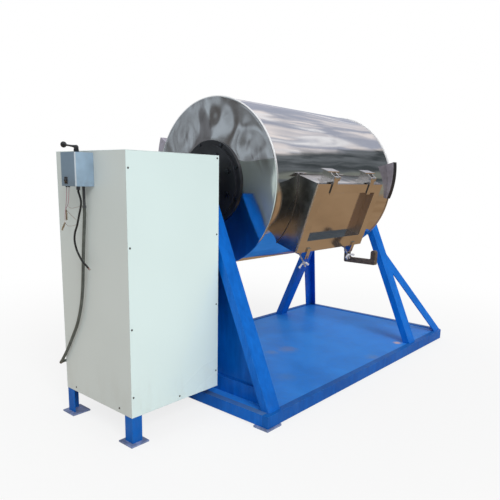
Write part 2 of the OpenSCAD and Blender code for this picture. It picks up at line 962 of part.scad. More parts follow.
// Gearbox and motor, in line along X
module gearbox_housing() {
    body_r = gear_w / 2 - gear_foot_t / 2;
    color("steelblue") difference() {
        union() {
            block([gear_x + motor_flange_t, -gear_w / 2, shelf_top],
                [gear_x1 - gear_foot_t, gear_w / 2, shelf_top + gear_foot_t]);
            x_rod(gear_x + motor_flange_t, gear_len - motor_flange_t, 0, drive_z, body_r);
            block([gear_x + motor_flange_t, -body_r, shelf_top],
                [gear_x1, body_r, drive_z]);
            x_rod(gear_x, motor_flange_t + over, 0, drive_z, motor_r + gear_foot_t / 2);
        }
        x_rod(gear_x1 - out_shaft_in, out_shaft_in + over, 0, drive_z, out_shaft_r + run_gap);
        x_rod(gear_x - over, out_shaft_in + over, 0, drive_z, motor_shaft_r + run_gap);
    }
}

module motor_body() {
    color("steelblue") difference() {
        union() {
            x_rod(motor_x, motor_len, 0, drive_z, motor_r);
            for (i = [0 : fin_count - 1])
                translate([0, 0, drive_z]) rotate([fin_free + i * fin_step, 0, 0])
                    block([motor_x + shield_t, -fin_t / 2, motor_r - fin_h],
                        [motor_x1 - shield_t, fin_t / 2, motor_r + fin_h]);
            block([motor_x + 2 * shield_t, -terminal_w / 2, drive_z + stator_in + fin_t / 2],
                [motor_x + 2 * shield_t + terminal_w, terminal_w / 2, drive_z + motor_r + terminal_h]);
        }
        x_rod(motor_x + shield_t, motor_len - 2 * shield_t, 0, drive_z, stator_in);
        x_rod(motor_x - over, motor_len + 2 * over, 0, drive_z, motor_shaft_r + run_gap);
    }
}

module motor_rotor() {
    core_x = motor_x + (motor_len - rotor_len) / 2;
    fan_x = motor_x - fan_t - shield_t / 2;
    color("silver") {
        x_rod(fan_x, motor_len + fan_t + shield_t / 2 + out_shaft_in - shield_t, 0, drive_z, motor_shaft_r);
        x_rod(core_x, rotor_len, 0, drive_z, rotor_r);
        x_rod(fan_x, fan_t / 4, 0, drive_z, fan_r);
        for (i = [0 : 5]) translate([0, 0, drive_z]) rotate([60 * i, 0, 0])
            block([fan_x, -fin_t / 2, 0], [fan_x + fan_t, fin_t / 2, fan_r]);
    }
}

module motor_fan_cover() {
    x = motor_x - fan_cover_len;
    color("steelblue") difference() {
        x_rod(x, fan_cover_len + cover_lap, 0, drive_z, motor_r + seat_gap + cover_t);
        x_rod(x + cover_t, fan_cover_len + cover_lap, 0, drive_z, motor_r + seat_gap);
        for (i = [0 : 7]) translate([0, 0, drive_z]) rotate([45 * i, 0, 0])
            translate([0, 0, motor_r / 2]) x_rod(x - over, cover_t + 2 * over, 0, 0, vent_r);
    }
}

// The groove for a belt, measured from the pitch line.
module groove_section() {
    low = belt_t - belt_back + groove_deep;
    high = belt_back + over;
    half = belt_w / 2 + belt_fit - belt_back * groove_slope;
    polygon([
        [-low, -half + low * groove_slope], [high, -half - high * groove_slope],
        [high, half + high * groove_slope], [-low, half - low * groove_slope]
    ]);
}

// A belt round both pulleys: rings of four corners, each ring square to the belt's run.
module one_belt() {
    high = belt_back;
    low = belt_t - belt_back;
    half = belt_w / 2 - belt_back * groove_slope;
    corners = [
        [-low, -half + low * groove_slope], [high, -half - high * groove_slope],
        [high, half + high * groove_slope], [-low, half - low * groove_slope]
    ];
    wrap = 90 + belt_angle;
    rings = concat(
        [for (i = [0 : belt_steps]) [0, big_pulley_r, -wrap + 2 * wrap * i / belt_steps]],
        [for (i = [0 : belt_steps])
            [-pulley_drop, small_pulley_r, wrap + 2 * (180 - wrap) * i / belt_steps]]
    );
    count = len(rings);
    points = [
        for (g = rings, c = corners)
            [(g[1] + c[0]) * sin(g[2]), g[0] + (g[1] + c[0]) * cos(g[2]), c[1]]
    ];
    polyhedron(points, [
        for (i = [0 : count - 1], k = [0 : 3], h = [0, 1])
            let (a = 4 * i + k, b = 4 * i + (k + 1) % 4, c = (a + 4) % (4 * count), d = (b + 4) % (4 * count))
            h == 0 ? [a, c, b] : [b, c, d]
    ]);
}

module drive_belts() {
    color("black") for (s = [-0.5, 0.5])
        translate([pulley_x + s * belt_gap, 0, axis_h]) rotate([90, 0, 90]) one_belt();
}

module pulley(z, pitch_r, bore_r) {
    rim = pitch_r + belt_back + pulley_lip;
    difference() {
        x_rod(pulley_x - pulley_w / 2, pulley_w, 0, z, rim);
        for (s = [-0.5, 0.5]) translate([pulley_x + s * belt_gap, 0, z]) rotate([90, 0, 90])
            rotate_extrude() translate([pitch_r, 0]) groove_section();
        x_rod(pulley_x - pulley_w, 2 * pulley_w, 0, z, bore_r);
    }
}

module driven_pulley() {
    color("dimgray") pulley(axis_h, big_pulley_r, shaft_r + run_gap);
}

module drive_pulley() {
    color("dimgray") union() {
        pulley(drive_z, small_pulley_r, out_shaft_r);
        x_rod(gear_x1 - out_shaft_in + side_gap, pulley_x + pulley_w / 2 - gear_x1 + out_shaft_in,
            0, drive_z, out_shaft_r);
    }
}

// Control box and what hangs from it
module box_plan(inset) {
    r = box_r - inset;
    translate([box_x + box_r, box_y - box_w / 2 + inset])
        square([box_d - box_r - inset, box_w - 2 * inset]);
    translate([box_x + inset, box_y - box_w / 2 + box_r])
        square([box_d - 2 * inset, box_w - 2 * box_r]);
    for (s = [-1, 1]) translate([box_x + box_r, box_y + s * (box_w / 2 - box_r)]) circle(r);
}

module control_box() {
    window = rocker_r;
    color("lightsteelblue") difference() {
        translate([0, 0, box_z]) linear_extrude(box_h) box_plan(0);
        translate([0, 0, box_z + box_t]) linear_extrude(box_h - 2 * box_t) box_plan(box_t);
        translate([lever_x, box_y, box_top - over]) cylinder(r = spindle_r + run_gap, h = 2 * over);
        block([box_x - over, rocker_y - rocker_w / 2 - side_gap, rocker_z - window],
            [box_x + over, rocker_y + rocker_w / 2 + side_gap, rocker_z + window]);
    }
}

module box_fittings() {
    half_y = rocker_w / 2 + side_gap;
    half_z = rocker_r;
    color("dimgray") {
        difference() {
            block([box_x - bezel_t, rocker_y - half_y - bezel_edge, rocker_z - half_z - bezel_edge],
                [box_x, rocker_y + half_y + bezel_edge, rocker_z + half_z + bezel_edge]);
            block([box_x - over, rocker_y - half_y, rocker_z - half_z],
                [box_x + over, rocker_y + half_y, rocker_z + half_z]);
        }
        from_box_foot() {
            hang_from_box(conduit_route[0], nipple_r, nipple_len);
            translate(conduit_route[0]) cylinder(r = coupling_r, h = coupling_len);
            hang_from_box(cable_route[0], gland_r, gland_len);
            hang_from_box(upper_lead_route[0], grommet_r, grommet_len);
            hang_from_box(lower_lead_route[0], grommet_r, grommet_len);
            conduit_end = conduit_route[len(conduit_route) - 1];
            translate([conduit_end[0], cab_half + back_gland_len, conduit_end[2]]) rotate([90, 0, 0])
                cylinder(r = back_gland_r, h = back_gland_len);
        }
    }
}

module from_box_foot() {
    translate([cab_x, 0, box_z]) children();
}

module hang_from_box(at, r, len) {
    translate([at[0], at[1], -len]) cylinder(r = r, h = len);
}

module conduit() {
    color("dimgray") from_box_foot() tube(conduit_route, conduit_r, conduit_rings, 12);
}

module power_cable() {
    color("black") from_box_foot() tube(cable_route, cable_r, cable_rings, 10);
}

module test_leads() {
    color("rosybrown") from_box_foot() {
        tube(upper_lead_route, lead_r, lead_rings, 8);
        tube(lower_lead_route, lead_r, lead_rings, 8);
    }
}

// A spring clip hanging from its lead: the body below, and the jaw that opens above it.
module clip_frame(at, turn) {
    from_box_foot() translate(at) rotate([turn, 0, 0]) rotate([90, 0, -90]) rotate([0, 0, -90]) children();
}

module clip_body() {
    ear_in = clip_w / 2 - clip_ear_t;
    block([0, -clip_half_h, -clip_w / 2], [clip_len, -clip_gap, clip_w / 2]);
    for (m = [0, 1]) mirror([0, 0, m])
        block([clip_pin_at - 2 * clip_pin_r, -clip_gap, ear_in],
            [clip_pin_at + 2 * clip_pin_r, clip_half_h, clip_w / 2]);
    translate([clip_pin_at, clip_pin_up, -clip_w / 2]) cylinder(r = clip_pin_r, h = clip_w);
}

module clip_jaw() {
    half = clip_w / 2 - clip_ear_t - clip_gap / 2;
    difference() {
        block([clip_pin_at - clip_pin_up + clip_gap, clip_gap, -half], [clip_len, clip_half_h, half]);
        translate([clip_pin_at, clip_pin_up, -clip_w])
            cylinder(r = clip_pin_r + run_gap, h = 2 * clip_w);
    }
}

module clip_bodies() {
    color("goldenrod") {
        clip_frame(upper_clip_at, upper_clip_turn) clip_body();
        clip_frame(lower_clip_at, lower_clip_turn) clip_body();
    }
}

module upper_clip_jaw() {
    color("goldenrod") clip_frame(upper_clip_at, upper_clip_turn) clip_jaw();
}

module lower_clip_jaw() {
    color("goldenrod") clip_frame(lower_clip_at, lower_clip_turn) clip_jaw();
}

module switch_lever() {
    color("black") translate([lever_x, box_y, box_top]) {
        translate([0, 0, -spindle_in]) cylinder(r = spindle_r, h = spindle_in + boss_h / 2);
        translate([0, 0, side_gap]) cylinder(r = boss_r, h = boss_h - side_gap);
        translate([0, 0, arm_z]) rotate([0, 0, lever_yaw]) rotate([lever_rise - 90, 0, 0]) {
            cylinder(r = arm_r, h = arm_len);
            translate([0, 0, arm_len]) sphere(r = ball_r);
        }
    }
}

module rocker_switch() {
    color("black") translate([box_x + rocker_deep, rocker_y - rocker_w / 2, rocker_z]) rotate([-90, 0, 0])
        difference() {
            cylinder(r = rocker_face_r, h = rocker_w);
            translate([side_gap, -rocker_r, -over]) cube([rocker_r, 2 * rocker_r, rocker_w + 2 * over]);
        }
}

// Drum
module about_axis(x, side) {
    translate([x, 0, axis_h]) mirror([side < 0 ? 1 : 0, 0, 0]) rotate([90, 0, 90]) rotate_extrude()
        children();
}

module end_profile() {
    polygon([
        [0, dish], [dish_r, dish], [drum_r - dish_edge, 0], [drum_r + bead_r / 2, 0],
        [drum_r + bead_r / 2, -cap_t], [drum_r - shell_t - seat_gap, -cap_t],
        [drum_r - shell_t - seat_gap, -end_t], [drum_r - dish_edge, -end_t],
        [dish_r, dish - end_t], [0, dish - end_t]
    ]);
    intersection() {
        translate([drum_r, -bead_r]) circle(bead_r);
        translate([drum_r + seat_gap, -2 * bead_r]) square([bead_r, 2 * bead_r]);
    }
}

module drum_end_plates() {
    color("silver") {
        about_axis(drum_x, -1) end_profile();
        about_axis(drum_x1, 1) end_profile();
    }
}

module neck_hollow(deep) {
    half_w = neck_w / 2 - neck_t;
    half_h = neck_h / 2 - neck_t;
    door_frame() block([-half_w, -half_h, 0], [half_w, half_h, deep]);
}

module drum_shell() {
    color("silver") difference() {
        x_rod(drum_x + cap_t, drum_len - 2 * cap_t, 0, axis_h, drum_r);
        x_rod(drum_x - over, drum_len + 2 * over, 0, axis_h, drum_r - shell_t);
        neck_hollow(drum_r + over);
    }
}

module hub_flanges() {
    color("black") for (end = [[drum_x, -1], [drum_x1, 1]]) difference() {
        about_axis(end[0], end[1]) polygon([
            [shaft_r + run_gap, dish], [hub_back_r, dish],
            [hub_back_r, dish + hub_back_t], [hub_front_r, dish + hub_back_t],
            [hub_front_r, hub_face], [hub_boss_r, hub_face],
            [hub_boss_r, hub_face + hub_boss_len], [shaft_r + run_gap, hub_face + hub_boss_len]
        ]);
        hub_bolt_set(end, hub_bolt_circle, hub_bolt_r + run_gap, hub_face + over, 0, 0);
        hub_bolt_set(end, rim_bolt_circle, rim_bolt_r + run_gap, dish + hub_back_t + over, 0, 0);
    }
}

// A circle of bolts on the hub at one end: shanks up to top, then heads of height head_h.
module hub_bolt_set(end, circle_r, r, top, flats, head_h) {
    translate([end[0], 0, axis_h]) mirror([end[1] < 0 ? 1 : 0, 0, 0]) rotate([90, 0, 90])
        for (i = [0 : hub_bolts_n - 1]) rotate([0, 0, 360 * (i + 0.5) / hub_bolts_n])
            translate([circle_r, 0, dish]) {
                cylinder(r = r, h = top - dish);
                if (head_h > 0) translate([0, 0, top - dish]) hex_head(flats, head_h);
            }
}

module hub_bolts() {
    color("silver") for (end = [[drum_x, -1], [drum_x1, 1]]) {
        hub_bolt_set(end, hub_bolt_circle, hub_bolt_r, hub_face, hub_bolt_flats, bolt_head_h);
        hub_bolt_set(end, rim_bolt_circle, rim_bolt_r, dish + hub_back_t, rim_bolt_flats, rim_bolt_flats / 2);
    }
}

module drum_shafts() {
    near_end = pulley_x - pulley_w / 2 - shaft_past;
    far_end = far_bearing_x + bearing_w / 2 + shaft_past;
    color("silver") {
        x_rod(near_end, drum_x - dish - near_end, 0, axis_h, shaft_r);
        x_rod(drum_x1 + dish, far_end - drum_x1 - dish, 0, axis_h, shaft_r);
    }
}

module bearing_inserts() {
    color("dimgray") for (x = [near_bearing_x, far_bearing_x]) difference() {
        union() {
            x_rod(x - insert_w / 2, insert_w, 0, axis_h, insert_r - run_gap);
            x_rod(x - bearing_w / 2, bearing_w, 0, axis_h, (insert_r + shaft_r) / 2);
        }
        x_rod(x - bearing_w, 2 * bearing_w, 0, axis_h, shaft_r + run_gap);
    }
}

module mixing_blades() {
    color("silver") intersection() {
        x_rod(drum_x, drum_len, 0, axis_h, drum_r - shell_t - run_gap);
        translate([0, 0, axis_h]) rotate([90 + door_tilt, 0, 0])
            for (i = [1 : blade_places - 1]) rotate([360 * i / blade_places, 0, 0]) block(
                [drum_x + blade_end, -blade_t / 2, drum_r - blade_h],
                [drum_x1 - blade_end, blade_t / 2, drum_r]
            );
    }
}

// A frame of the neck's outline: walls of one width between two heights.
module neck_frame(inset, wide, low, high) {
    half_w = neck_w / 2 - inset;
    half_h = neck_h / 2 - inset;
    difference() {
        block([-half_w, -half_h, low], [half_w, half_h, high]);
        block([-half_w + wide, -half_h + wide, low - over], [half_w - wide, half_h - wide, high + over]);
    }
}

module door_neck() {
    color("silver") difference() {
        door_frame() {
            neck_frame(0, neck_t, drum_r / 2, gasket_back);
            neck_frame(0, neck_t + lip_w, gasket_back - neck_t, gasket_back);
        }
        x_rod(drum_x, drum_len, 0, axis_h, drum_r + seat_gap);
    }
}

module door_panel() {
    half_w = neck_w / 2;
    half_h = neck_h / 2;
    low = [-half_w + pan_side, -half_h + pan_below];
    high = [half_w - pan_side, half_h - pan_above];
    color("silver") door_frame() difference() {
        union() {
            block([-half_w, -half_h, door_back], [half_w, half_h, door_d]);
            block([low[0] - pan_t, low[1] - pan_t, door_d - pan_depth - pan_t],
                [high[0] + pan_t, high[1] + pan_t, door_d]);
        }
        block([low[0], low[1], door_d - pan_depth], [high[0], high[1], door_d + over]);
    }
}

module door_gasket() {
    color("white") door_frame() neck_frame(gasket_in, gasket_w, gasket_back, door_back);
}

module at_hinges() {
    for (s = [-1, 1]) translate([s * hinge_shift, 0, 0]) children();
}

module at_clamps() {
    for (s = [-1, 1]) translate([s * clamp_shift, 0, 0]) children();
}

module door_straps() {
    color("silver") door_frame() {
        at_hinges() difference() {
            union() {
                block([-strap_w / 2, neck_h / 2 - strap_lap, door_d],
                    [strap_w / 2, hinge_y - barrel_r / 2, door_d + strap_t]);
                x_rod(-strap_w / 2, strap_w, hinge_y, hinge_z, barrel_r);
            }
            x_rod(-strap_w, 2 * strap_w, hinge_y, hinge_z, pin_r + run_gap);
        }
        at_clamps() difference() {
            block([-tab_w / 2, -neck_h / 2 - tab_reach, door_d],
                [tab_w / 2, -neck_h / 2 + tab_lap, door_d + tab_t]);
            block([-rod_r - 1.5 * side_gap, -neck_h / 2 - tab_reach - over, door_d - over],
                [rod_r + 1.5 * side_gap, clamp_y + rod_r + 2 * side_gap, door_d + tab_t + over]);
        }
    }
}

module hinge_bracket() {
    top = neck_h / 2;
    cheek_in = strap_w / 2 + side_gap;
    back = hinge_z - bracket_back;
    roof = hinge_y + barrel_r + roof_gap;
    front = hinge_z - barrel_r - roof_gap;
    low = front + roof_gap;
    block([-bracket_w / 2, top, back], [bracket_w / 2, top + bracket_t, low]);
    block([-bracket_w / 2, roof, back], [bracket_w / 2, roof + bracket_t, front]);
    for (m = [0, 1]) mirror([m, 0, 0]) difference() {
        along_x(cheek_in, cheek_t) polygon([
            [top + bracket_t, back], [top + bracket_t, low],
            [hinge_y - barrel_r, hinge_z + barrel_r], [hinge_y + barrel_r, hinge_z + barrel_r],
            [hinge_y + barrel_r + roof_gap / 3, low], [roof, front], [roof, back]
        ]);
        x_rod(0, strap_w, hinge_y, hinge_z, pin_r + run_gap);
    }
}

module clamp_clevis() {
    gap = eye_t / 2 + side_gap;
    for (m = [0, 1]) mirror([m, 0, 0]) difference() {
        block([gap, -neck_h / 2 - clevis_off - eye_r, clamp_z - ear_w / 2],
            [gap + ear_t, -neck_h / 2, clamp_z + ear_w / 2]);
        x_rod(0, 2 * eye_t, clamp_y, clamp_z, clevis_pin_r + run_gap);
    }
}

module latch_bracket() {
    gap = latch_w / 2 + side_gap;
    for (m = [0, 1]) mirror([m, 0, 0]) difference() {
        along_x(gap, ear_t) polygon([
            [-neck_h / 2, latch_z - latch_cheek_w], [-neck_h / 2, latch_z + latch_cheek_w / 2],
            [latch_y, latch_z + latch_hub_r], [latch_y - latch_hub_r, latch_z],
            [latch_y, latch_z - latch_hub_r]
        ]);
        x_rod(0, 2 * latch_w, latch_y, latch_z, latch_pin_r + run_gap);
    }
}

module door_brackets() {
    color("dimgray") door_frame() {
        at_hinges() hinge_bracket();
        at_clamps() clamp_clevis();
        translate([latch_shift, 0, 0]) latch_bracket();
    }
}

module door_pins() {
    hinge_half = strap_w / 2 + side_gap + cheek_t;
    clevis_half = eye_t / 2 + side_gap + ear_t;
    latch_half = latch_w / 2 + side_gap + ear_t;
    color("silver") door_frame() {
        at_hinges() headed_pin(hinge_half, hinge_y, hinge_z, pin_r);
        at_clamps() headed_pin(clevis_half, clamp_y, clamp_z, clevis_pin_r);
        translate([latch_shift, 0, 0]) headed_pin(latch_half, latch_y, latch_z, latch_pin_r);
    }
}

module headed_pin(half, y, z, r) {
    x_rod(-half, 2 * half, y, z, r);
    for (x = [-half - r / 2, half]) x_rod(x, r / 2, y, z, 1.5 * r);
}

// The swing bolts rest swung down, clear of the door's tabs. Z runs along the bolt.
module bolt_frame(s) {
    door_frame() translate([s * clamp_shift, clamp_y, clamp_z]) rotate([bolt_rest, 0, 0]) children();
}

module swing_bolt(s) {
    color("silver") bolt_frame(s) difference() {
        union() {
            cylinder(r = rod_r, h = rod_len);
            x_rod(-eye_t / 2, eye_t, 0, 0, eye_r);
        }
        x_rod(-eye_t, 2 * eye_t, 0, 0, clevis_pin_r + run_gap);
    }
}

module left_swing_bolt() {
    swing_bolt(-1);
}

module right_swing_bolt() {
    swing_bolt(1);
}

// Three wings, turned so that none lies before the door's tab.
function wing_turn(s, i) = (s > 0 ? 180 : 0) + i * 360 / wing_count;

module wing_nut(s) {
    color("silver") bolt_frame(s) translate([0, 0, nut_seat]) difference() {
        union() {
            cylinder(r = nut_r, h = nut_h);
            for (i = [0 : wing_count - 1]) rotate([90, 0, wing_turn(s, i)]) translate([0, 0, -wing_t / 2])
                linear_extrude(wing_t) polygon([
                    [nut_r - wing_t, nut_h / 7], [nut_r + wing_t, nut_h / 7],
                    [wing_reach, nut_h], [wing_reach, nut_h + wing_rise],
                    [wing_reach - wing_rise, nut_h + wing_rise], [nut_r - wing_t, nut_h]
                ]);
        }
        translate([0, 0, -over]) cylinder(r = rod_r + run_gap, h = nut_h + wing_rise + 2 * over);
    }
}

module left_wing_nut() {
    wing_nut(-1);
}

module right_wing_nut() {
    wing_nut(1);
}

// The lever's outline: Z points out of the machine's front, Y up.
module latch_lever() {
    half = latch_w / 2;
    color("saddlebrown") door_frame() translate([latch_shift, latch_y, latch_z]) rotate([-door_tilt, 0, 0])
        difference() {
            union() {
                x_rod(-half, latch_w, 0, 0, latch_hub_r);
                block([-half, -latch_drop, -latch_hub_r], [half, 0, latch_hub_r]);
                block([-half, -latch_drop, -latch_hub_r], [half, latch_t - latch_drop, latch_reach]);
                block([-half, -latch_drop, latch_reach - latch_end_t],
                    [half, latch_up - latch_drop, latch_reach]);
            }
            x_rod(-latch_w, 2 * latch_w, 0, 0, latch_pin_r + run_gap);
        }
}

// A lug's outline in Y and Z round the axis, from its thin end to its blunt end.
module lug_outline(angles, inner) {
    function at(a, r) = [-r * cos(a), r * sin(a)];
    function turn(i) = angles[0] + (angles[1] - angles[0]) * i / lug_steps;
    outer = drum_r + bead_r;
    polygon(concat(
        [for (i = [0 : lug_steps]) at(turn(i), outer + lug_thin + (lug_h - lug_thin) * i / lug_steps)],
        [for (i = [lug_steps : -1 : 0]) at(turn(i), inner)]
    ));
}

module rim_lug(rim_x, side, angles) {
    clear_r = drum_r + bead_r + seat_gap;
    translate([rim_x, 0, axis_h]) mirror([side > 0 ? 1 : 0, 0, 0]) {
        difference() {
            union() {
                along_x(0, lug_w) lug_outline(angles, clear_r);
                along_x(lug_w - lug_foot_w, lug_foot_w) lug_outline(angles, drum_r - over);
            }
            x_rod(-over, lug_w + 2 * over, 0, 0, drum_r + seat_gap);
        }
    }
}

module rim_lugs() {
    color("dimgray") {
        rim_lug(drum_x1, 1, far_lug_angles);
        rim_lug(drum_x, -1, near_lug_angles);
    }
}

base_long_rails();
base_cross_rails();
deck_plate();
base_pads();
near_stand_legs();
near_stand_rail();
near_stand_panel();
bearing_seats();
far_stand_legs();
far_stand_tie();
far_stand_braces();
bearing_housings();
mounting_bolts();
cabinet_uprights();
cabinet_rails();
cabinet_feet();
cabinet_front_panel();
cabinet_back_panel();
cabinet_end_panel();
cabinet_drum_side_panel();
cabinet_top_panel();
cabinet_screws();
motor_shelf();
gearbox_housing();
motor_body();
motor_fan_cover();
drive_belts();
control_box();
box_fittings();
conduit();
power_cable();
test_leads();
clip_bodies();
drum_shell();
drum_end_plates();
hub_flanges();
hub_bolts();
drum_shafts();
bearing_inserts();
driven_pulley();
mixing_blades();
door_neck();
door_brackets();
door_pins();
rim_lugs();
door_panel();
door_gasket();
door_straps();
left_swing_bolt();
right_swing_bolt();
left_wing_nut();
right_wing_nut();
latch_lever();
drive_pulley();
motor_rotor();
switch_lever();
rocker_switch();
upper_clip_jaw();
lower_clip_jaw();
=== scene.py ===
"""Looks for a drum mixer: a polished drum on a blue stand, driven from a pale square cabinet."""

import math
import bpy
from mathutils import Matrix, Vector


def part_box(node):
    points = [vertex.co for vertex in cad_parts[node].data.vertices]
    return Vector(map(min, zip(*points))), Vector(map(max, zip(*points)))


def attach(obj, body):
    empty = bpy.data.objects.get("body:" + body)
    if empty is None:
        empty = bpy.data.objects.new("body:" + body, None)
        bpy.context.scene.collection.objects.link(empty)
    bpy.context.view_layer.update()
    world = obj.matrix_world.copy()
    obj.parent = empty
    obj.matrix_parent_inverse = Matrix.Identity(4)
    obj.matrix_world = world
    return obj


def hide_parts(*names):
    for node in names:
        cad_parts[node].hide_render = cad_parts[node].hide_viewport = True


bl_info = {
    "name": "Drum mixer",
    "version": (1, 0, 0),
    "blender": (4, 5, 0),
    "location": "3D View > Sidebar > Drum Mixer",
    "description": "Finishes and small parts of a drum mixer, piece by piece",
    "category": "Object",
}

import bmesh
import bpy
from bpy.props import FloatProperty, FloatVectorProperty, PointerProperty
from mathutils import Matrix, Vector

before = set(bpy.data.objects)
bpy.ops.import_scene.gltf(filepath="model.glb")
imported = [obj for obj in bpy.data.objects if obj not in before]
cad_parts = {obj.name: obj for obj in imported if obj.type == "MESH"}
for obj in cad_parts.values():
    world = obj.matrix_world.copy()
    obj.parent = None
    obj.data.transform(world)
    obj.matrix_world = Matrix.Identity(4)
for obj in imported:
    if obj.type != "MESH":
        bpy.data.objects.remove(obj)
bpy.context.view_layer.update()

AXIS_Z = 1.3
DRUM_RADIUS = 0.5
SHELL_THICKNESS = 0.003
BEAD_RADIUS = 0.502
NECK_HALF_LENGTH = 0.375
NECK_HALF_HEIGHT = 0.216
DOOR_TILT = math.radians(19)
CLAMP_REST = 38
CABINET_FOOT = 0.145
CABINET_HEIGHT = 1.3
CABINET_END_X = -1.432
CABINET_FRONT_Y = -0.3
BOX_FOOT = Vector((CABINET_END_X, 0, 1.274))
SURROUND_RADIUS = 14.0
FLOOR_HALF = 40.0


# Sizes and colours


def colour_prop(name, note, value):
    return FloatVectorProperty(
        name=name, description=note, subtype="COLOR", size=3, min=0, max=1, default=value
    )


def length_prop(name, note, value):
    return FloatProperty(name=name, description=note, default=value, min=0, unit="LENGTH")


class MixerSizes(bpy.types.PropertyGroup):
    """Sizes that a user would change"""

    edge_round: length_prop("Edge rounding", "Radius of the rounding on sheet and section edges", 0.0016)
    casting_round: length_prop("Casting rounding", "Radius of the rounding on castings", 0.005)
    conduit_radius: length_prop("Conduit radius", "Outer radius of the conduit", 0.008)
    cable_radius: length_prop("Cable radius", "Outer radius of the black cable", 0.005)
    lead_radius: length_prop("Lead radius", "Outer radius of the thin leads", 0.00125)
    strand_radius: length_prop("Strand radius", "Radius of the bare strands at the clips", 0.0007)
    weld_radius: length_prop("Weld radius", "Size of the weld beads on the frame", 0.004)
    dent_depth: length_prop("Dent depth", "Depth of the waves in the drum's end plates", 0.02)


class MixerColours(bpy.types.PropertyGroup):
    """Colours that a user would change"""

    blue: colour_prop("Blue enamel", "Enamel on the base and stands", (0.0012, 0.140, 0.62))
    pale_blue: colour_prop("Pale blue", "Where the enamel's strokes are thin", (0.003, 0.185, 0.74))
    cabinet: colour_prop("Cabinet enamel", "Enamel on the cabinet's panels", (0.75, 0.89, 0.875))
    # Painted shade: the cabinet's enamel made darker and greyer for the end panel
    end_panel: colour_prop("End panel enamel", "Shaded enamel on the cabinet's end panel", (0.62, 0.67, 0.65))
    steel: colour_prop("Polished steel", "Drum, neck and door", (0.80, 0.785, 0.77))
    zinc: colour_prop("Bright fasteners", "Bolts, nuts and pins", (0.62, 0.62, 0.64))
    hub: colour_prop("Hub enamel", "Black enamel on the hubs", (0.012, 0.013, 0.017))
    feet: colour_prop("Foot paint", "Worn paint on pads and foot plates", (0.20, 0.25, 0.42))
    box: colour_prop("Box enamel", "Control box", (0.37, 0.51, 0.66))
    casting: colour_prop("Brown casting", "Latch lever", (0.15, 0.118, 0.095))
    conduit: colour_prop("Conduit", "Plastic of the conduit", (0.075, 0.085, 0.075))
    lead: colour_prop("Lead sheath", "Insulation of the thin leads", (0.26, 0.11, 0.15))
    brass: colour_prop("Clip metal", "Plated clips", (0.86, 0.72, 0.56))
    motor: colour_prop("Motor enamel", "Motor and gearbox", (0.05, 0.12, 0.20))
    bearing: colour_prop("Bearing enamel", "Bearing housings", (0.03, 0.09, 0.07))
    seal: colour_prop("Seal", "Rubber of the door's seal", (0.66, 0.65, 0.60))


def sizes():
    return bpy.context.scene.mixer_sizes


def colours():
    return bpy.context.scene.mixer_colours


# Shader expressions


def math_step(operation, swapped=False):
    """A method that adds one Math node, or one Vector Math node where a value is a vector."""

    def method(self, *others):
        values = (*others, self) if swapped else (self, *others)
        kind = "ShaderNodeMath"
        if any(isinstance(v, Signal) and v.socket.type in ("VECTOR", "RGBA") for v in values):
            kind = "ShaderNodeVectorMath"
        return self.shader.node(kind, {"operation": operation}, dict(enumerate(values)))

    return method


class Signal:
    """A socket in a material. Arithmetic on it adds nodes."""

    def __init__(self, shader, socket):
        self.shader = shader
        self.socket = socket

    __add__ = math_step("ADD")
    __radd__ = math_step("ADD", swapped=True)
    __sub__ = math_step("SUBTRACT")
    __rsub__ = math_step("SUBTRACT", swapped=True)
    __mul__ = math_step("MULTIPLY")
    __rmul__ = math_step("MULTIPLY", swapped=True)
    __truediv__ = math_step("DIVIDE")
    __pow__ = math_step("POWER")
    sine = math_step("SINE")
    size = math_step("ABSOLUTE")
    least = math_step("MINIMUM")
    most = math_step("MAXIMUM")

    def between(self, low, high):
        """0 below low, 1 above high, smooth in between."""
        return self.shader.node(
            "ShaderNodeMapRange",
            {"interpolation_type": "SMOOTHSTEP"},
            {"Value": self, "From Min": low, "From Max": high},
        )


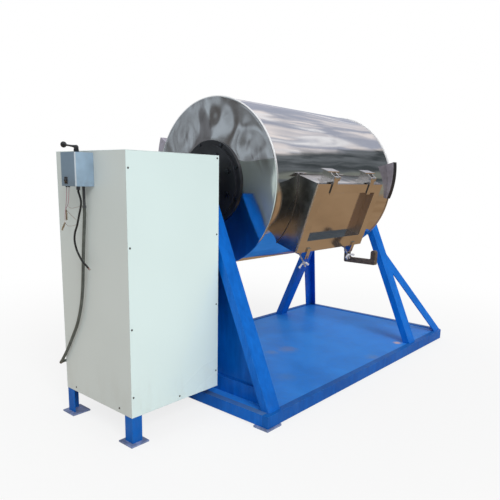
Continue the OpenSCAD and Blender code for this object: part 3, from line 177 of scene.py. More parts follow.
class Shader:
    """Builds the node tree of a material or of the world."""

    def __init__(self, tree):
        self.tree = tree
        tree.nodes.clear()

    def node(self, kind, settings=None, values=None, out=0):
        """Adds a node: its settings first, then the values or links of its sockets."""
        made = self.tree.nodes.new(kind)
        for key, value in (settings or {}).items():
            setattr(made, key, value)
        for key, value in (values or {}).items():
            socket = made.inputs[key]
            if isinstance(value, Signal):
                self.tree.links.new(value.socket, socket)
            elif socket.type in ("VECTOR", "RGBA") and isinstance(value, (int, float)):
                socket.default_value = [value] * len(socket.default_value)
            elif socket.type == "RGBA" and len(value) == 3:
                socket.default_value = (*value, 1)
            else:
                socket.default_value = value
        return Signal(self, made.outputs[out]) if made.outputs else None

    def place(self):
        return self.node("ShaderNodeTexCoord", out="Object")

    def parts(self, vector):
        split = self.node("ShaderNodeSeparateXYZ", values={0: vector})
        outputs = split.socket.node.outputs
        return [Signal(self, outputs[i]) for i in range(3)]

    def noise(self, at, scale, detail=2.0, rough=0.5, warp=0.0):
        return self.node(
            "ShaderNodeTexNoise",
            values={"Vector": at, "Scale": scale, "Detail": detail, "Roughness": rough, "Distortion": warp},
        )

    def stretched(self, at, factors):
        return self.node("ShaderNodeVectorMath", {"operation": "MULTIPLY"}, {0: at, 1: factors})

    def blend(self, mask, first, second):
        """The first colour where mask is 0, the second where it is 1."""
        return self.node("ShaderNodeMix", {"data_type": "RGBA"}, {0: mask, 6: first, 7: second}, out=2)

    def facing(self):
        """The surface's own direction in the piece's frame, with its bumps left out."""
        return self.parts(self.node("ShaderNodeTexCoord", out="Normal"))

    def rounded(self, radius):
        return self.node("ShaderNodeBevel", {"samples": 4}, {"Radius": radius})

    def edge(self, radius, low=0.02, high=0.16):
        """1 near an edge of the shape, 0 away from it."""
        soft = self.node("ShaderNodeBevel", {"samples": 6}, {"Radius": radius})
        plain = self.node("ShaderNodeNewGeometry", out="Normal")
        settings = {"operation": "DOT_PRODUCT"}
        along = self.node("ShaderNodeVectorMath", settings, {0: soft, 1: plain}, out="Value")
        return (1 - along).between(low, high)

    def bump(self, height, strength, distance, normal=None):
        values = {"Height": height, "Strength": strength, "Distance": distance}
        if normal is not None:
            values["Normal"] = normal
        return self.node("ShaderNodeBump", values=values)

    def principled(self, **values):
        named = {k.replace("_", " "): v for k, v in values.items()}
        return self.node("ShaderNodeBsdfPrincipled", values=named)

    def finish(self, surface, kind="ShaderNodeOutputMaterial"):
        self.node(kind, values={"Surface": surface})


def new_material(name):
    material = bpy.data.materials.new(name)
    material.use_nodes = True
    return material, Shader(material.node_tree)


def shade(colour, factor):
    return tuple(min(1.0, c * factor) for c in colour)


# Finishes


def blue_enamel(name, dust=0.0, scuffs_and_glints=(), painted_shade=1.0, dust_and_light_veil=(0.045, 0.33, 0.95)):
    """Brushed-on blue enamel: uneven tone, thin at edges, with a veil on what faces up that is partly dust
    and partly painted light from above.

    Each scuff or painted glint is (x, y, reach, colour, strength).
    """
    material, s = new_material(name)
    at = s.place()
    x, y, z = s.parts(at)
    up = s.facing()[2]
    broad = s.noise(at, 1.7, 3.0, 0.55)
    strokes = s.noise(s.stretched(at, (9.0, 9.0, 2.0)), 3.0, 3.0, 0.6)
    tone = broad * 0.55 + strokes * 0.45
    # painted_shade below 1 darkens both tones of the paint, as painted shade
    thick, thin = shade(colours().blue, 0.78 * painted_shade), shade(colours().pale_blue, painted_shade)
    paint = s.blend(tone.between(0.30, 0.72), thick, thin)
    rim = s.edge(0.004) * s.noise(at, 38.0, 3.0).between(0.36, 0.62)
    paint = s.blend(rim * 0.55, paint, (0.05, 0.26, 0.66))
    chips = s.edge(0.0035, 0.05, 0.2) * s.noise(at, 90.0, 2.0).between(0.66, 0.70)
    paint = s.blend(chips * 0.8, paint, (0.10, 0.085, 0.08))
    splash = z.between(0.30, 0.05) * s.noise(at, 14.0, 4.0, 0.6).between(0.42, 0.75)
    paint = s.blend(splash * 0.14, paint, (0.10, 0.17, 0.30))
    # The veil on up-facing faces is patchy dust that also roughens them; its default bright blue is light
    # from above painted into the colour, while a grey veil is dust alone
    dust_and_light_film = up.between(0.6, 0.95) * (s.noise(at, 3.1, 4.0, 0.6, 0.4).between(0.30, 0.75) * 0.45 + 0.55)
    paint = s.blend((dust_and_light_film * (0.10 + dust)).least(0.9), paint, dust_and_light_veil)
    # Scuffs, and painted glints of warm light, each round its spot on faces that look up
    for spot_x, spot_y, reach, colour, strength in scuffs_and_glints:
        away = ((x - spot_x) ** 2 + (y - spot_y) ** 2) ** 0.5
        ragged = away + s.noise(at, 26.0, 3.0) * reach
        mask = ragged.between(reach * 1.7, reach * 0.5) * up.between(0.8, 0.95)
        paint = s.blend(mask * strength, paint, colour)
    rough = 0.34 + dust_and_light_film * 0.14 + strokes * 0.10
    grain = s.noise(s.stretched(at, (1.0, 1.0, 0.35)), 130.0, 2.0) * 0.6 + s.noise(at, 420.0, 1.0) * 0.4
    normal = s.bump(grain, 0.30, 0.0006, s.rounded(sizes().edge_round))
    s.finish(s.principled(Base_Color=paint, Roughness=rough, Normal=normal, Specular_IOR_Level=0.18,
                          Coat_Weight=0.05, Coat_Roughness=0.15))
    return material


def cabinet_enamel(name, base):
    """Pale sprayed enamel with a faint orange-peel, paler up high and grimy low down."""
    material, s = new_material(name)
    at = s.place()
    height = s.parts(at)[2]
    broad = s.noise(at, 1.3, 2.0)
    pale = shade(base, 1.03)
    paint = s.blend(broad.between(0.3, 0.7), shade(base, 0.965), pale)
    paint = s.blend(height.between(0.2, 1.4) * 0.35, paint, pale)
    runs = s.noise(s.stretched(at, (1.0, 1.0, 0.3)), 9.0, 4.0, 0.6).between(0.45, 0.8)
    paint = s.blend(height.between(0.45, 0.14) * runs * 0.22, paint, (0.42, 0.40, 0.34))
    rim = s.edge(0.004) * s.noise(at, 45.0, 3.0).between(0.42, 0.66)
    paint = s.blend(rim * 0.35, paint, (0.45, 0.46, 0.44))
    specks = s.noise(at, 160.0, 2.0).between(0.73, 0.78) * s.noise(at, 5.0, 2.0).between(0.52, 0.70)
    paint = s.blend(specks * 0.6, paint, (0.20, 0.21, 0.20))
    sag = s.bump(s.noise(at, 2.4, 1.0), 0.25, 0.006, s.rounded(0.002))
    peel = s.bump(s.noise(at, 260.0, 1.0), 0.12, 0.0004, sag)
    s.finish(s.principled(Base_Color=paint, Roughness=0.24 + broad * 0.10, Normal=peel,
                          Coat_Weight=0.3, Coat_Roughness=0.06))
    return material


def box_enamel():
    """Silver-grey hammered enamel on the control box, with a painted highlight down its rounded corners and
    painted shade on its end face.
    """
    material, s = new_material("box_enamel")
    base = tuple(colours().box)
    at = s.place()
    broad = s.noise(at, 7.0, 3.0)
    paint = s.blend(broad.between(0.3, 0.7), shade(base, 0.86), shade(base, 1.18))
    end_on, side_on = [part.size() for part in s.facing()[:2]]
    # Painted highlight: the rounded corners, between the end face and the side faces, are lightened
    paint = s.blend(end_on.least(side_on).between(0.12, 0.5) * 0.85, paint, (0.80, 0.87, 0.93))
    # Painted shade: the end face, which looks along X, is darkened
    paint = s.blend(end_on.between(0.8, 0.98) * 0.70, paint, shade(base, 0.42))
    low = s.parts(at)[2].between(1.34, 1.28) * s.noise(at, 60.0, 3.0).between(0.4, 0.7)
    paint = s.blend(low * 0.25, paint, (0.16, 0.17, 0.19))
    normal = s.bump(s.noise(at, 150.0, 2.0), 0.22, 0.0006, s.rounded(0.003))
    s.finish(s.principled(Base_Color=paint, Metallic=0.35, Roughness=0.30 + broad * 0.08, Normal=normal,
                          Coat_Weight=0.2))
    return material


def polished_steel(name, wave, wave_scale, along=(1.0, 1.0, 1.0), rough=0.05, mark=None):
    """Mirror-polished sheet: long waves from rolling, fine polishing marks, faint smears.

    mark changes the tone, the metal's share and the roughness of some places.
    """
    material, s = new_material(name)
    base = tuple(colours().steel)
    at = s.place()
    smear = s.noise(s.stretched(at, (2.0, 5.0, 5.0)), 1.6, 4.0, 0.6)
    tone = s.blend(smear.between(0.35, 0.75), base, shade(base, 0.90))
    prints = s.noise(at, 11.0, 3.0, 0.6).between(0.60, 0.78)
    tone = s.blend(s.edge(0.003) * 0.35, tone, (0.42, 0.41, 0.41))
    lines = s.noise(s.stretched(at, (60.0, 3.0, 3.0)), 9.0, 2.0)
    rough = rough + smear.between(0.4, 0.8) * 0.05 + prints * 0.06 + lines * 0.02
    long_wave = s.noise(s.stretched(at, along), wave_scale, 2.0, 0.45, 0.3)
    normal = s.bump(lines, 0.04, 0.0002, s.bump(long_wave, 1.0, wave, s.rounded(0.0012)))
    metal = 1.0
    if mark:
        tone, metal, rough = mark(s, at, tone, rough)
    s.finish(s.principled(Base_Color=tone, Metallic=metal, Roughness=rough, Normal=normal))
    return material


def neck_wall_shade(s, at, tone, rough):
    """Painted shade on the neck's left wall, in blotchy dark greys, deeper away from the shell."""
    sides = s.facing()[0].between(-0.6, -0.9) * (s.parts(at)[1].between(-0.46, -0.56) * 0.5 + 0.45)
    dark_blotches = s.noise(at, 9.0, 4.0, 0.6).between(0.25, 0.75)
    shade_tone = s.blend(dark_blotches, (0.05, 0.055, 0.06), (0.26, 0.28, 0.30))
    return s.blend(sides, tone, shade_tone), 1.0, rough + sides * 0.22


def recess_painted_reflection(s, at, tone, rough):
    """The walls and ledges of the door's sunk part, tinted by the way they face as painted reflections: warm
    on the walls, a darker cold blue-grey on the ledges. The walls are also less polished than the door's
    face.
    """
    facing = s.facing()
    wall = facing[0].between(-0.6, -0.9)
    ledge = facing[2].between(0.5, 0.8)
    tone = s.blend(wall, tone, (0.85, 0.66, 0.52))
    return s.blend(ledge, tone, (0.34, 0.40, 0.56)), 1.0, rough + wall * 0.30


def plate_painted_reflections(s, at, tone, rough):
    """A painted highlight, a white line along the upper part of the plate's rolled bead, and dark streaks on
    its upper half, painted as reflections in its dents.
    """
    _, y, z = s.parts(at)
    up = z - AXIS_Z
    # Painted highlight on the bead's upper part: white, less metal and rougher
    bead = ((y * y + up * up) ** 0.5).between(BEAD_RADIUS - 0.004, BEAD_RADIUS - 0.001)
    bead = bead * up.between(-0.08, 0.22)
    painted_dark_streaks = s.noise(s.stretched(at, (1.0, 1.0, 0.55)), 4.6, 3.0, 0.5, 0.5).between(0.54, 0.63)
    tone = s.blend(painted_dark_streaks * up.between(0.02, 0.16) * 0.7, tone, (0.20, 0.16, 0.15))
    return s.blend(bead, tone, (0.93, 0.94, 0.96)), 1 - bead * 0.75, rough + bead * 0.25


def lug_finish():
    """Polished sides, with a dark strip over the outer curve."""
    material, s = new_material("lug_finish")
    at = s.place()
    place, facing = s.parts(at), s.facing()
    outward = (facing[1] * place[1] + facing[2] * (place[2] - AXIS_Z)) / 0.55
    strip = outward.between(0.75, 0.9)
    smear = s.noise(at, 9.0, 4.0, 0.6)
    tone = s.blend(smear.between(0.3, 0.7), (0.42, 0.38, 0.45), (0.60, 0.56, 0.64))
    tone = s.blend(strip, tone, (0.012, 0.012, 0.016))
    normal = s.bump(smear, 0.3, 0.003, s.rounded(0.0015))
    s.finish(s.principled(Base_Color=tone, Metallic=(1 - strip) * 0.55, Roughness=0.22 + strip * 0.3,
                          Normal=normal))
    return material


def bright_zinc(name="bright_zinc", colour=None, thread=None, rough=0.22, metal=1.0):
    """Plated fasteners, with a thread where one is asked for, its grooves darkened as painted shade."""
    material, s = new_material(name)
    base = tuple(colour or colours().zinc)
    at = s.place()
    cloud = s.noise(at, 70.0, 3.0, 0.6)
    tone = s.blend(cloud.between(0.35, 0.7), base, shade(base, 0.72))
    tone = s.blend(s.edge(0.0015) * 0.4, tone, shade(base, 1.25))
    normal = s.bump(s.noise(at, 300.0, 2.0), 0.15, 0.0003, s.rounded(0.0008))
    if thread:
        pitch, axis = thread
        turn = (s.parts(at)[axis] * (2 * math.pi / pitch)).sine()
        normal = s.bump(turn, 0.9, 0.0006, normal)
        # Painted shade: the thread's grooves are darkened
        tone = s.blend(turn.between(0.0, -1.0) * 0.6, tone, shade(base, 0.30))
    s.finish(s.principled(Base_Color=tone, Metallic=metal, Roughness=rough + cloud * 0.16, Normal=normal))
    return material


def black_enamel(name, colour, rough=0.28):
    """Black enamel with a film of dust and worn edges."""
    material, s = new_material(name)
    at = s.place()
    dust = s.noise(at, 6.0, 4.0, 0.6).between(0.45, 0.8)
    tone = s.blend(dust * 0.30, tuple(colour), (0.06, 0.07, 0.085))
    tone = s.blend(s.edge(0.003) * s.noise(at, 50.0, 2.0).between(0.4, 0.7) * 0.5, tone, (0.16, 0.17, 0.19))
    normal = s.bump(s.noise(at, 120.0, 2.0), 0.2, 0.0005, s.rounded(sizes().edge_round))
    s.finish(s.principled(Base_Color=tone, Roughness=rough + dust * 0.2, Normal=normal,
                          Coat_Weight=0.3, Coat_Roughness=0.1))
    return material


def cast_paint(name, colour, grit=1.0, wear=(0.30, 0.24, 0.20), metal=0.0, rough=0.45, round_by=None):
    """Paint or scale on a rough casting, rubbed lighter on its edges."""
    material, s = new_material(name)
    base = tuple(colour)
    at = s.place()
    lumps = s.noise(at, 28.0, 4.0, 0.6)
    tone = s.blend(lumps.between(0.3, 0.7), shade(base, 0.7), shade(base, 1.35))
    rub = s.edge(0.006, 0.03, 0.2) * s.noise(at, 60.0, 3.0).between(0.35, 0.65)
    tone = s.blend(rub * 0.7, tone, wear)
    grains = s.noise(at, 260.0, 3.0, 0.6) * 0.6 + s.noise(at, 60.0, 2.0) * 0.4
    normal = s.bump(grains, 0.55 * grit, 0.0015, s.rounded(round_by or sizes().casting_round))
    s.finish(s.principled(Base_Color=tone, Metallic=metal, Roughness=rough + lumps * 0.2, Normal=normal))
    return material


def moulded(name, colour, rough=0.4, grain=0.2, ring=None, coat=0.0):
    """Plastic or rubber, with a fine grain and, where asked for, rings that many metres apart."""
    material, s = new_material(name)
    base = tuple(colour)
    at = s.place()
    cloud = s.noise(at, 24.0, 3.0)
    tone = s.blend(cloud.between(0.35, 0.7), base, shade(base, 1.5))
    dust = s.noise(at, 80.0, 3.0, 0.6).between(0.55, 0.8)
    tone = s.blend(dust * 0.25, tone, (0.22, 0.21, 0.19))
    normal = s.bump(s.noise(at, 520.0, 2.0), grain, 0.0004, s.rounded(0.0010))
    if ring:
        normal = s.bump((s.parts(at)[2] * (2 * math.pi / ring)).sine(), 0.25, 0.0006, normal)
    s.finish(s.principled(Base_Color=tone, Roughness=rough + cloud * 0.15, Normal=normal, Coat_Weight=coat))
    return material


# Shapes


def linked(name, data):
    """Puts a mesh, a light or a camera in the scene as an object."""
    made = bpy.data.objects.new(name, data)
    bpy.context.scene.collection.objects.link(made)
    return made


def piece(name, mesh_or_bm, material, body, replaces=(), sharp=35.0):
    """Makes an object of a mesh, with its finish, and lets it ride on its body."""
    if isinstance(mesh_or_bm, bmesh.types.BMesh):
        mesh = bpy.data.meshes.new(name)
        bmesh.ops.recalc_face_normals(mesh_or_bm, faces=mesh_or_bm.faces)
        mesh_or_bm.to_mesh(mesh)
        mesh_or_bm.free()
    else:
        mesh = mesh_or_bm
    for polygon in mesh.polygons:
        polygon.use_smooth = True
    mesh.set_sharp_from_angle(angle=math.radians(sharp))
    made = linked(name, mesh)
    mesh.materials.append(material)
    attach(made, body)
    if replaces:
        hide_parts(*replaces)
    return made


def dress(material, *nodes):
    """Gives the CAD nodes a finish."""
    for name in nodes:
        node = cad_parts[name]
        node.data.materials.clear()
        node.data.materials.append(material)


def ring(bm, centre, side, other, radius, sides):
    """Points round a centre, in the plane of two directions."""
    turns = [2 * math.pi * k / sides for k in range(sides)]
    return [bm.verts.new(centre + radius * (math.cos(t) * side + math.sin(t) * other)) for t in turns]


def lathe(bm, profile, place, sides=48, closed=False):
    """Turns a profile of (radius, height) round the Z axis of place."""
    side, other = place.to_3x3() @ Vector((1, 0, 0)), place.to_3x3() @ Vector((0, 1, 0))
    rings = []
    for radius, height in profile:
        centre = place @ Vector((0, 0, height))
        at_axis = radius < 1e-7
        rings.append([bm.verts.new(centre)] if at_axis else ring(bm, centre, side, other, radius, sides))
    pairs = list(zip(rings, rings[1:]))
    if closed:
        pairs.append((rings[-1], rings[0]))
    for a, b in pairs:
        for k in range(sides):
            n = (k + 1) % sides
            if len(a) == 1 and len(b) == 1:
                continue
            if len(a) == 1:
                bm.faces.new((a[0], b[k], b[n]))
            elif len(b) == 1:
                bm.faces.new((a[k], b[0], a[n]))
            else:
                bm.faces.new((a[k], b[k], b[n], a[n]))


def steps(start, end, count):
    """Evenly spaced values with both ends."""
    return [start + (end - start) * i / count for i in range(count + 1)]


def arc(cx, cy, radius, start, end, count):
    """Points of an arc, for a profile; angles in degrees."""
    turns = [math.radians(a) for a in steps(start, end, count)]
    return [(cx + radius * math.cos(t), cy + radius * math.sin(t)) for t in turns]


def smooth_route(points, per_piece=10):
    """A smooth curve through the points, straight in its first and last stretch."""
    p = [Vector(q) for q in points]
    out = [p[0]]
    for i in range(len(p) - 1):
        a, b, c, d = p[max(i - 1, 0)], p[i], p[i + 1], p[min(i + 2, len(p) - 1)]
        straight = i in (0, len(p) - 2)
        for k in range(1, per_piece + 1):
            t = k / per_piece
            bend = t * (c - a) / 2 + t * t * (a - 2.5 * b + 2 * c - d / 2)
            bend += t * t * t * (-a + 3 * b - 3 * c + d) / 2
            out.append(b.lerp(c, t) if straight else b + bend)
    return out


def route_length(points):
    return sum((b - a).length for a, b in zip(points, points[1:]))


def tube(bm, points, radius, sides=16, caps=True):
    """Sweeps a circle along points. The radius is a number, or a function of the share of the way."""
    total = route_length(points)
    run, side, rings = 0.0, None, []
    for i, point in enumerate(points):
        ahead = (points[min(i + 1, len(points) - 1)] - points[max(i - 1, 0)]).normalized()
        if side is None:
            side = ahead.orthogonal().normalized()
        side = (side - ahead * side.dot(ahead)).normalized()
        other = ahead.cross(side)
        if i:
            run += (point - points[i - 1]).length
        r = radius(run / total) if callable(radius) else radius
        rings.append(ring(bm, point, side, other, r, sides))
    for a, b in zip(rings, rings[1:]):
        for k in range(sides):
            n = (k + 1) % sides
            bm.faces.new((a[k], a[n], b[n], b[k]))
    if caps:
        bm.faces.new(list(reversed(rings[0])))
        bm.faces.new(rings[-1])


def prism(bm, outline, place, thick, round_by=0.0, segments=2):
    """Extrudes an outline of (x, y) along Z of place, centred, and rounds its edges."""
    low = [bm.verts.new(place @ Vector((x, y, -thick / 2))) for x, y in outline]
    high = [bm.verts.new(place @ Vector((x, y, thick / 2))) for x, y in outline]
    faces = [bm.faces.new(list(reversed(low))), bm.faces.new(high)]
    n = len(outline)
    for k in range(n):
        faces.append(bm.faces.new((low[k], low[(k + 1) % n], high[(k + 1) % n], high[k])))
    if round_by:
        edges = {e for f in faces for e in f.edges}
        bmesh.ops.bevel(bm, geom=list(edges), offset=round_by, segments=segments, affect="EDGES",
                        profile=0.6, clamp_overlap=True)


def brick(bm, low, high, place, round_by=0.0, segments=2):
    """A block between two corners, with rounded edges."""
    low, high = Vector(low), Vector(high)
    outline = [(low.x, low.y), (high.x, low.y), (high.x, high.y), (low.x, high.y)]
    middle = Matrix.Translation((0, 0, (low.z + high.z) / 2))
    prism(bm, outline, place @ middle, high.z - low.z, round_by, segments)


def turned(axis, degrees):
    return Matrix.Rotation(math.radians(degrees), 4, axis)


def facing_frame(origin, towards, up=(0, 0, 1)):
    """A place whose Z axis points towards a direction."""
    z = Vector(towards).normalized()
    x = Vector(up).cross(z)
    if x.length < 1e-6:
        x = Vector((1, 0, 0))
    x.normalize()
    y = z.cross(x)
    place = Matrix((x, y, z)).transposed().to_4x4()
    place.translation = Vector(origin)
    return place


def door_place():
    """The door's own frame: X along the drum, Y up along the door, Z out of it."""
    low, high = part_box("door_panel")
    place = Matrix.Translation(((low[0] + high[0]) / 2, 0, AXIS_Z))
    return place @ Matrix.Rotation(math.pi / 2 + DOOR_TILT, 4, "X")


# Pieces


def scale_mm(points):
    return [Vector(p) / 1000 for p in points]


def from_box_foot(points):
    return [BOX_FOOT + q for q in scale_mm(points)]


# Routes of the cords in millimetres from the box's foot, the same as the solids'

CONDUIT = [
    (-18, 24, -106), (-18, 24, -134), (-18, 36, -224), (-18, 49, -324),
    (-18, 58, -414), (-18, 70, -514), (-18, 91, -611), (-18, 131, -713),
    (-18, 192, -810), (-18, 254, -898), (-18, 306, -962), (-8, 346, -992),
    (18, 370, -998), (46, 368, -996), (60, 352, -994), (60, 328, -994),
]
CABLE = [
    (-45, 28, -18), (-45, 28, -28), (-45, 14, -54), (-45, 8, -79),
    (-45, 16, -109), (-45, 31, -143), (-45, 53, -194), (-45, 75, -232),
    (-45, 82, -273), (-45, 63, -322), (-45, 20, -369), (-45, -10, -386),
    (-45, -32, -398),
]
UPPER_LEAD = [
    (-80, 52, -6), (-80, 52, -10), (-80, 56, -34), (-80, 60, -59),
    (-80, 66, -84), (-80, 80, -102), (-80, 86, -112), (-80, 86, -116),
]
LOWER_LEAD = [
    (-87, 62, -6), (-87, 62, -10), (-87, 66, -44), (-87, 72, -79),
    (-87, 80, -109), (-87, 88, -139), (-87, 90, -164), (-87, 90, -176),
    (-87, 90, -180),
]


class MIXER_OT_cords(bpy.types.Operator):
    """Makes the conduit, the black cable, the thin leads and the bare strands"""

    bl_idname = "mixer.cords"
    bl_label = "Cords"

    def execute(self, context):
        size, tint = sizes(), colours()
        ribbed = moulded("conduit_plastic", tint.conduit, 0.36, 0.15, ring=0.004)
        conduit, route = self.cord("conduit_hose", CONDUIT, size.conduit_radius, 24, "conduit", ribbed)
        rubber = moulded("cable_rubber", (0.012, 0.013, 0.014), 0.42, 0.25)
        cable, route = self.cord("cut_cable", CABLE, size.cable_radius, 20, "power_cable", rubber)
        cores = self.cores(route)
        sheath = moulded("lead_sheath", tint.lead, 0.38, 0.1, coat=0.2)
        sleeves = bmesh.new()
        for name, points, pieces in (
            ("upper_lead", UPPER_LEAD, ["upper_clip_jaw"]),
            ("lower_lead", LOWER_LEAD, ["clip_bodies", "lower_clip_jaw"]),
        ):
            lead, route = self.cord(name, points, size.lead_radius, 12, "test_leads", sheath)
            self.sleeve(sleeves, route)
        white = moulded("white_sleeve", (0.55, 0.52, 0.50), 0.45, 0.1)
        piece("lead_sleeves", sleeves, white, "frame")
        self.strands(size)
        return {"FINISHED"}

    def cord(self, name, points, radius, sides, node, material):
        """Sweeps a cord along its route, and gives back both."""
        route = smooth_route(from_box_foot(points))
        bm = bmesh.new()
        tube(bm, route, radius, sides)
        return piece(name, bm, material, "frame", [node], sharp=60), route

    def cores(self, route):
        """Three bare-ended cores that stand out of the cable's cut end."""
        bm = bmesh.new()
        end, ahead = route[-1], (route[-1] - route[-2]).normalized()
        side = ahead.orthogonal().normalized()
        for k in range(3):
            off = Matrix.Rotation(2.1 * k + 0.4, 3, ahead) @ side
            start = end - ahead * 0.004 + off * 0.0022
            tip = end + ahead * (0.012 + 0.004 * k) + off * (0.004 + 0.0015 * k)
            tip.z -= 0.002 * k
            tube(bm, smooth_route([start, start + ahead * 0.006, tip], 6), 0.0011, 10)
        plastic = moulded("core_plastic", (0.16, 0.05, 0.03), 0.4, 0.1)
        return piece("cable_cores", bm, plastic, "frame")

    def sleeve(self, bm, route):
        """A short sleeve over the end of a lead, where its clip holds it."""
        ahead = (route[-1] - route[-8]).normalized()
        place = facing_frame(route[-1] - ahead * 0.010, ahead)
        profile = [(0.0013, 0), (0.0020, 0.0006), (0.0022, 0.006), (0.0020, 0.0098), (0.0013, 0.0099)]
        lathe(bm, profile, place, 20, closed=True)

    def strands(self, size):
        """Bare strands between the clips, the cable and the conduit."""
        bm = bmesh.new()
        for points in (
            [(-80, 85, -120), (-76, 76, -128), (-62, 60, -150), (-50, 46, -168)],
            [(-87, 89, -184), (-78, 82, -196), (-62, 68, -196), (-50, 55, -191)],
            [(-79, 71, -101), (-70, 58, -108), (-56, 42, -104), (-32, 30, -98), (-25, 25, -98)],
        ):
            tube(bm, smooth_route(from_box_foot(points), 8), size.strand_radius, 8)
        copper = bright_zinc("copper_strand", (0.45, 0.20, 0.12), rough=0.35)
        piece("clip_strands", bm, copper, "frame")


class MIXER_OT_stand(bpy.types.Operator):
    """Paints the base, the deck and both stands, and lays their weld beads"""

    bl_idname = "mixer.stand"
    bl_label = "Base and stands"

    def execute(self, context):
        blue = blue_enamel("blue_enamel")
        dress(blue, "near_stand_legs", "near_stand_rail", "near_stand_panel",
              "bearing_seats", "far_stand_legs", "far_stand_tie", "far_stand_braces")
        # Painted shade: a darker copy of the blue enamel for the long rails, the cabinet's uprights and rails
        # and the motor shelf
        dress(blue_enamel("painted_shade_enamel", painted_shade=0.72),
              "base_long_rails", "cabinet_uprights", "cabinet_rails", "motor_shelf")
        dusty = blue_enamel("dusty_enamel", 0.65, dust_and_light_veil=(0.13, 0.22, 0.34))
        dress(dusty, "base_cross_rails")
        # Painted glints: two spots of warm light on the deck near the far legs' feet
        painted_glints = [(0.90, -0.585, 0.034, (1.0, 0.62, 0.36), 0.9), (1.10, -0.56, 0.022, (0.9, 0.62, 0.44), 0.7)]
        smears = [
            (0.16, -0.06, 0.09, (0.30, 0.30, 0.36), 0.40), (0.02, -0.02, 0.06, (0.26, 0.30, 0.38), 0.35),
            (0.45, -0.62, 0.07, (0.20, 0.28, 0.46), 0.40), (-0.30, -0.40, 0.08, (0.12, 0.25, 0.52), 0.35),
        ]
        dress(blue_enamel("deck_enamel", 0.75, painted_glints + smears), "deck_plate")
        dress(cast_paint("pad_paint", colours().feet, 0.7, (0.22, 0.30, 0.55), rough=0.5, round_by=0.003),
              "base_pads", "cabinet_feet")
        self.welds()
        return {"FINISHED"}

    def welds(self):
        """Beads where the legs stand on the base, and where the seats and the tie meet the legs."""
        bm = bmesh.new()
        size = sizes().weld_radius
        # Seams as (y, z), on the back side
        leg_outside, leg_inside, seat_edge = (0.6712, 0.0805), (0.6165, 0.0755), (0.1655, 1.2178)
        leg_middle, base_top, leg_slope = 0.6153, 0.08, 0.44372
        inset = 0.002
        for side in (-1, 1):
            for node in ("near_stand_legs", "far_stand_legs"):
                low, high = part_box(node)
                for y, z in (leg_outside, leg_inside):
                    self.bead(bm, low[0] + inset, high[0] - inset, side * y, z, size)
            low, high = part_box("bearing_seats")
            y, z = seat_edge
            for x0, x1 in ((low[0], low[0] + 0.1), (high[0] - 0.1, high[0])):
                self.bead(bm, x0 + inset, x1 - inset, side * y, z, size * 0.8)
            low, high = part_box("far_stand_tie")
            for z in (low[2], high[2]):
                y = side * (leg_middle - (z - base_top) * leg_slope)
                self.bead(bm, low[0], low[0] + 2 * inset, y, z, size * 0.6)
                self.bead(bm, high[0], high[0] - 2 * inset, y, z, size * 0.6)
        piece("weld_beads", bm, blue_enamel("weld_enamel"), "frame", sharp=80)

    def bead(self, bm, start, end, y, z, radius):
        """A rippled bead along X."""
        count = max(3, int(abs(end - start) / 0.0016))
        points = [Vector((x, y, z)) for x in steps(start, end, count)]
        tube(bm, points, lambda t: radius * (0.86 + 0.14 * abs(math.sin(t * count * 0.55))), 10)


class MIXER_OT_cabinet(bpy.types.Operator):
    """Paints the cabinet's panels and drives in their screws"""

    bl_idname = "mixer.cabinet"
    bl_label = "Cabinet"

    def execute(self, context):
        dress(cabinet_enamel("cabinet_enamel", colours().cabinet),
              "cabinet_front_panel", "cabinet_back_panel", "cabinet_drum_side_panel", "cabinet_top_panel")
        # The end panel's darker colour is painted shade
        dress(cabinet_enamel("end_panel_painted_shade", colours().end_panel), "cabinet_end_panel")
        heads, slots = bmesh.new(), bmesh.new()
        for i, (at, towards) in enumerate(self.screw_places()):
            place = facing_frame(at, towards) @ turned("Z", 23 * i)
            lathe(heads, [(0.0001, 0.0001), (0.0052, 0.0001), (0.0050, 0.0009), (0.0040, 0.0019),
                          (0.0022, 0.0024), (0, 0.0025)], place, 28)
            # Painted shade: thin dark blocks across each head stand in for its cross recess
            for turn in (0, 90):
                slot_place = place @ turned("Z", turn)
                brick(slots, (-0.0026, -0.0005, 0.0019), (0.0026, 0.0005, 0.00255), slot_place, 0.0001, 1)
        piece("panel_screw_heads", heads, bright_zinc("screw_zinc", (0.20, 0.20, 0.20), rough=0.3), "frame",
              ["cabinet_screws"])
        slot_shade = moulded("slot_painted_shade", (0.02, 0.02, 0.02), 0.7)
        piece("panel_screw_slots", slots, slot_shade, "frame")
        return {"FINISHED"}

    def screw_places(self):
        """Places of the panel screws and the way each one faces."""
        places = []
        for x, shares in (
            (-1.420, (0.938, 0.654, 0.349, 0.082)),
            (-0.846, (0.988, 0.676, 0.375, 0.074)),
            (-1.120, (0.0185,)),
        ):
            heights = [CABINET_FOOT + share * CABINET_HEIGHT for share in shares]
            places += [((x, CABINET_FRONT_Y, z), (0, -1, 0)) for z in heights]
        return places + [((CABINET_END_X, y, CABINET_FOOT + 0.025), (-1, 0, 0)) for y in (0.2052, -0.1962)]


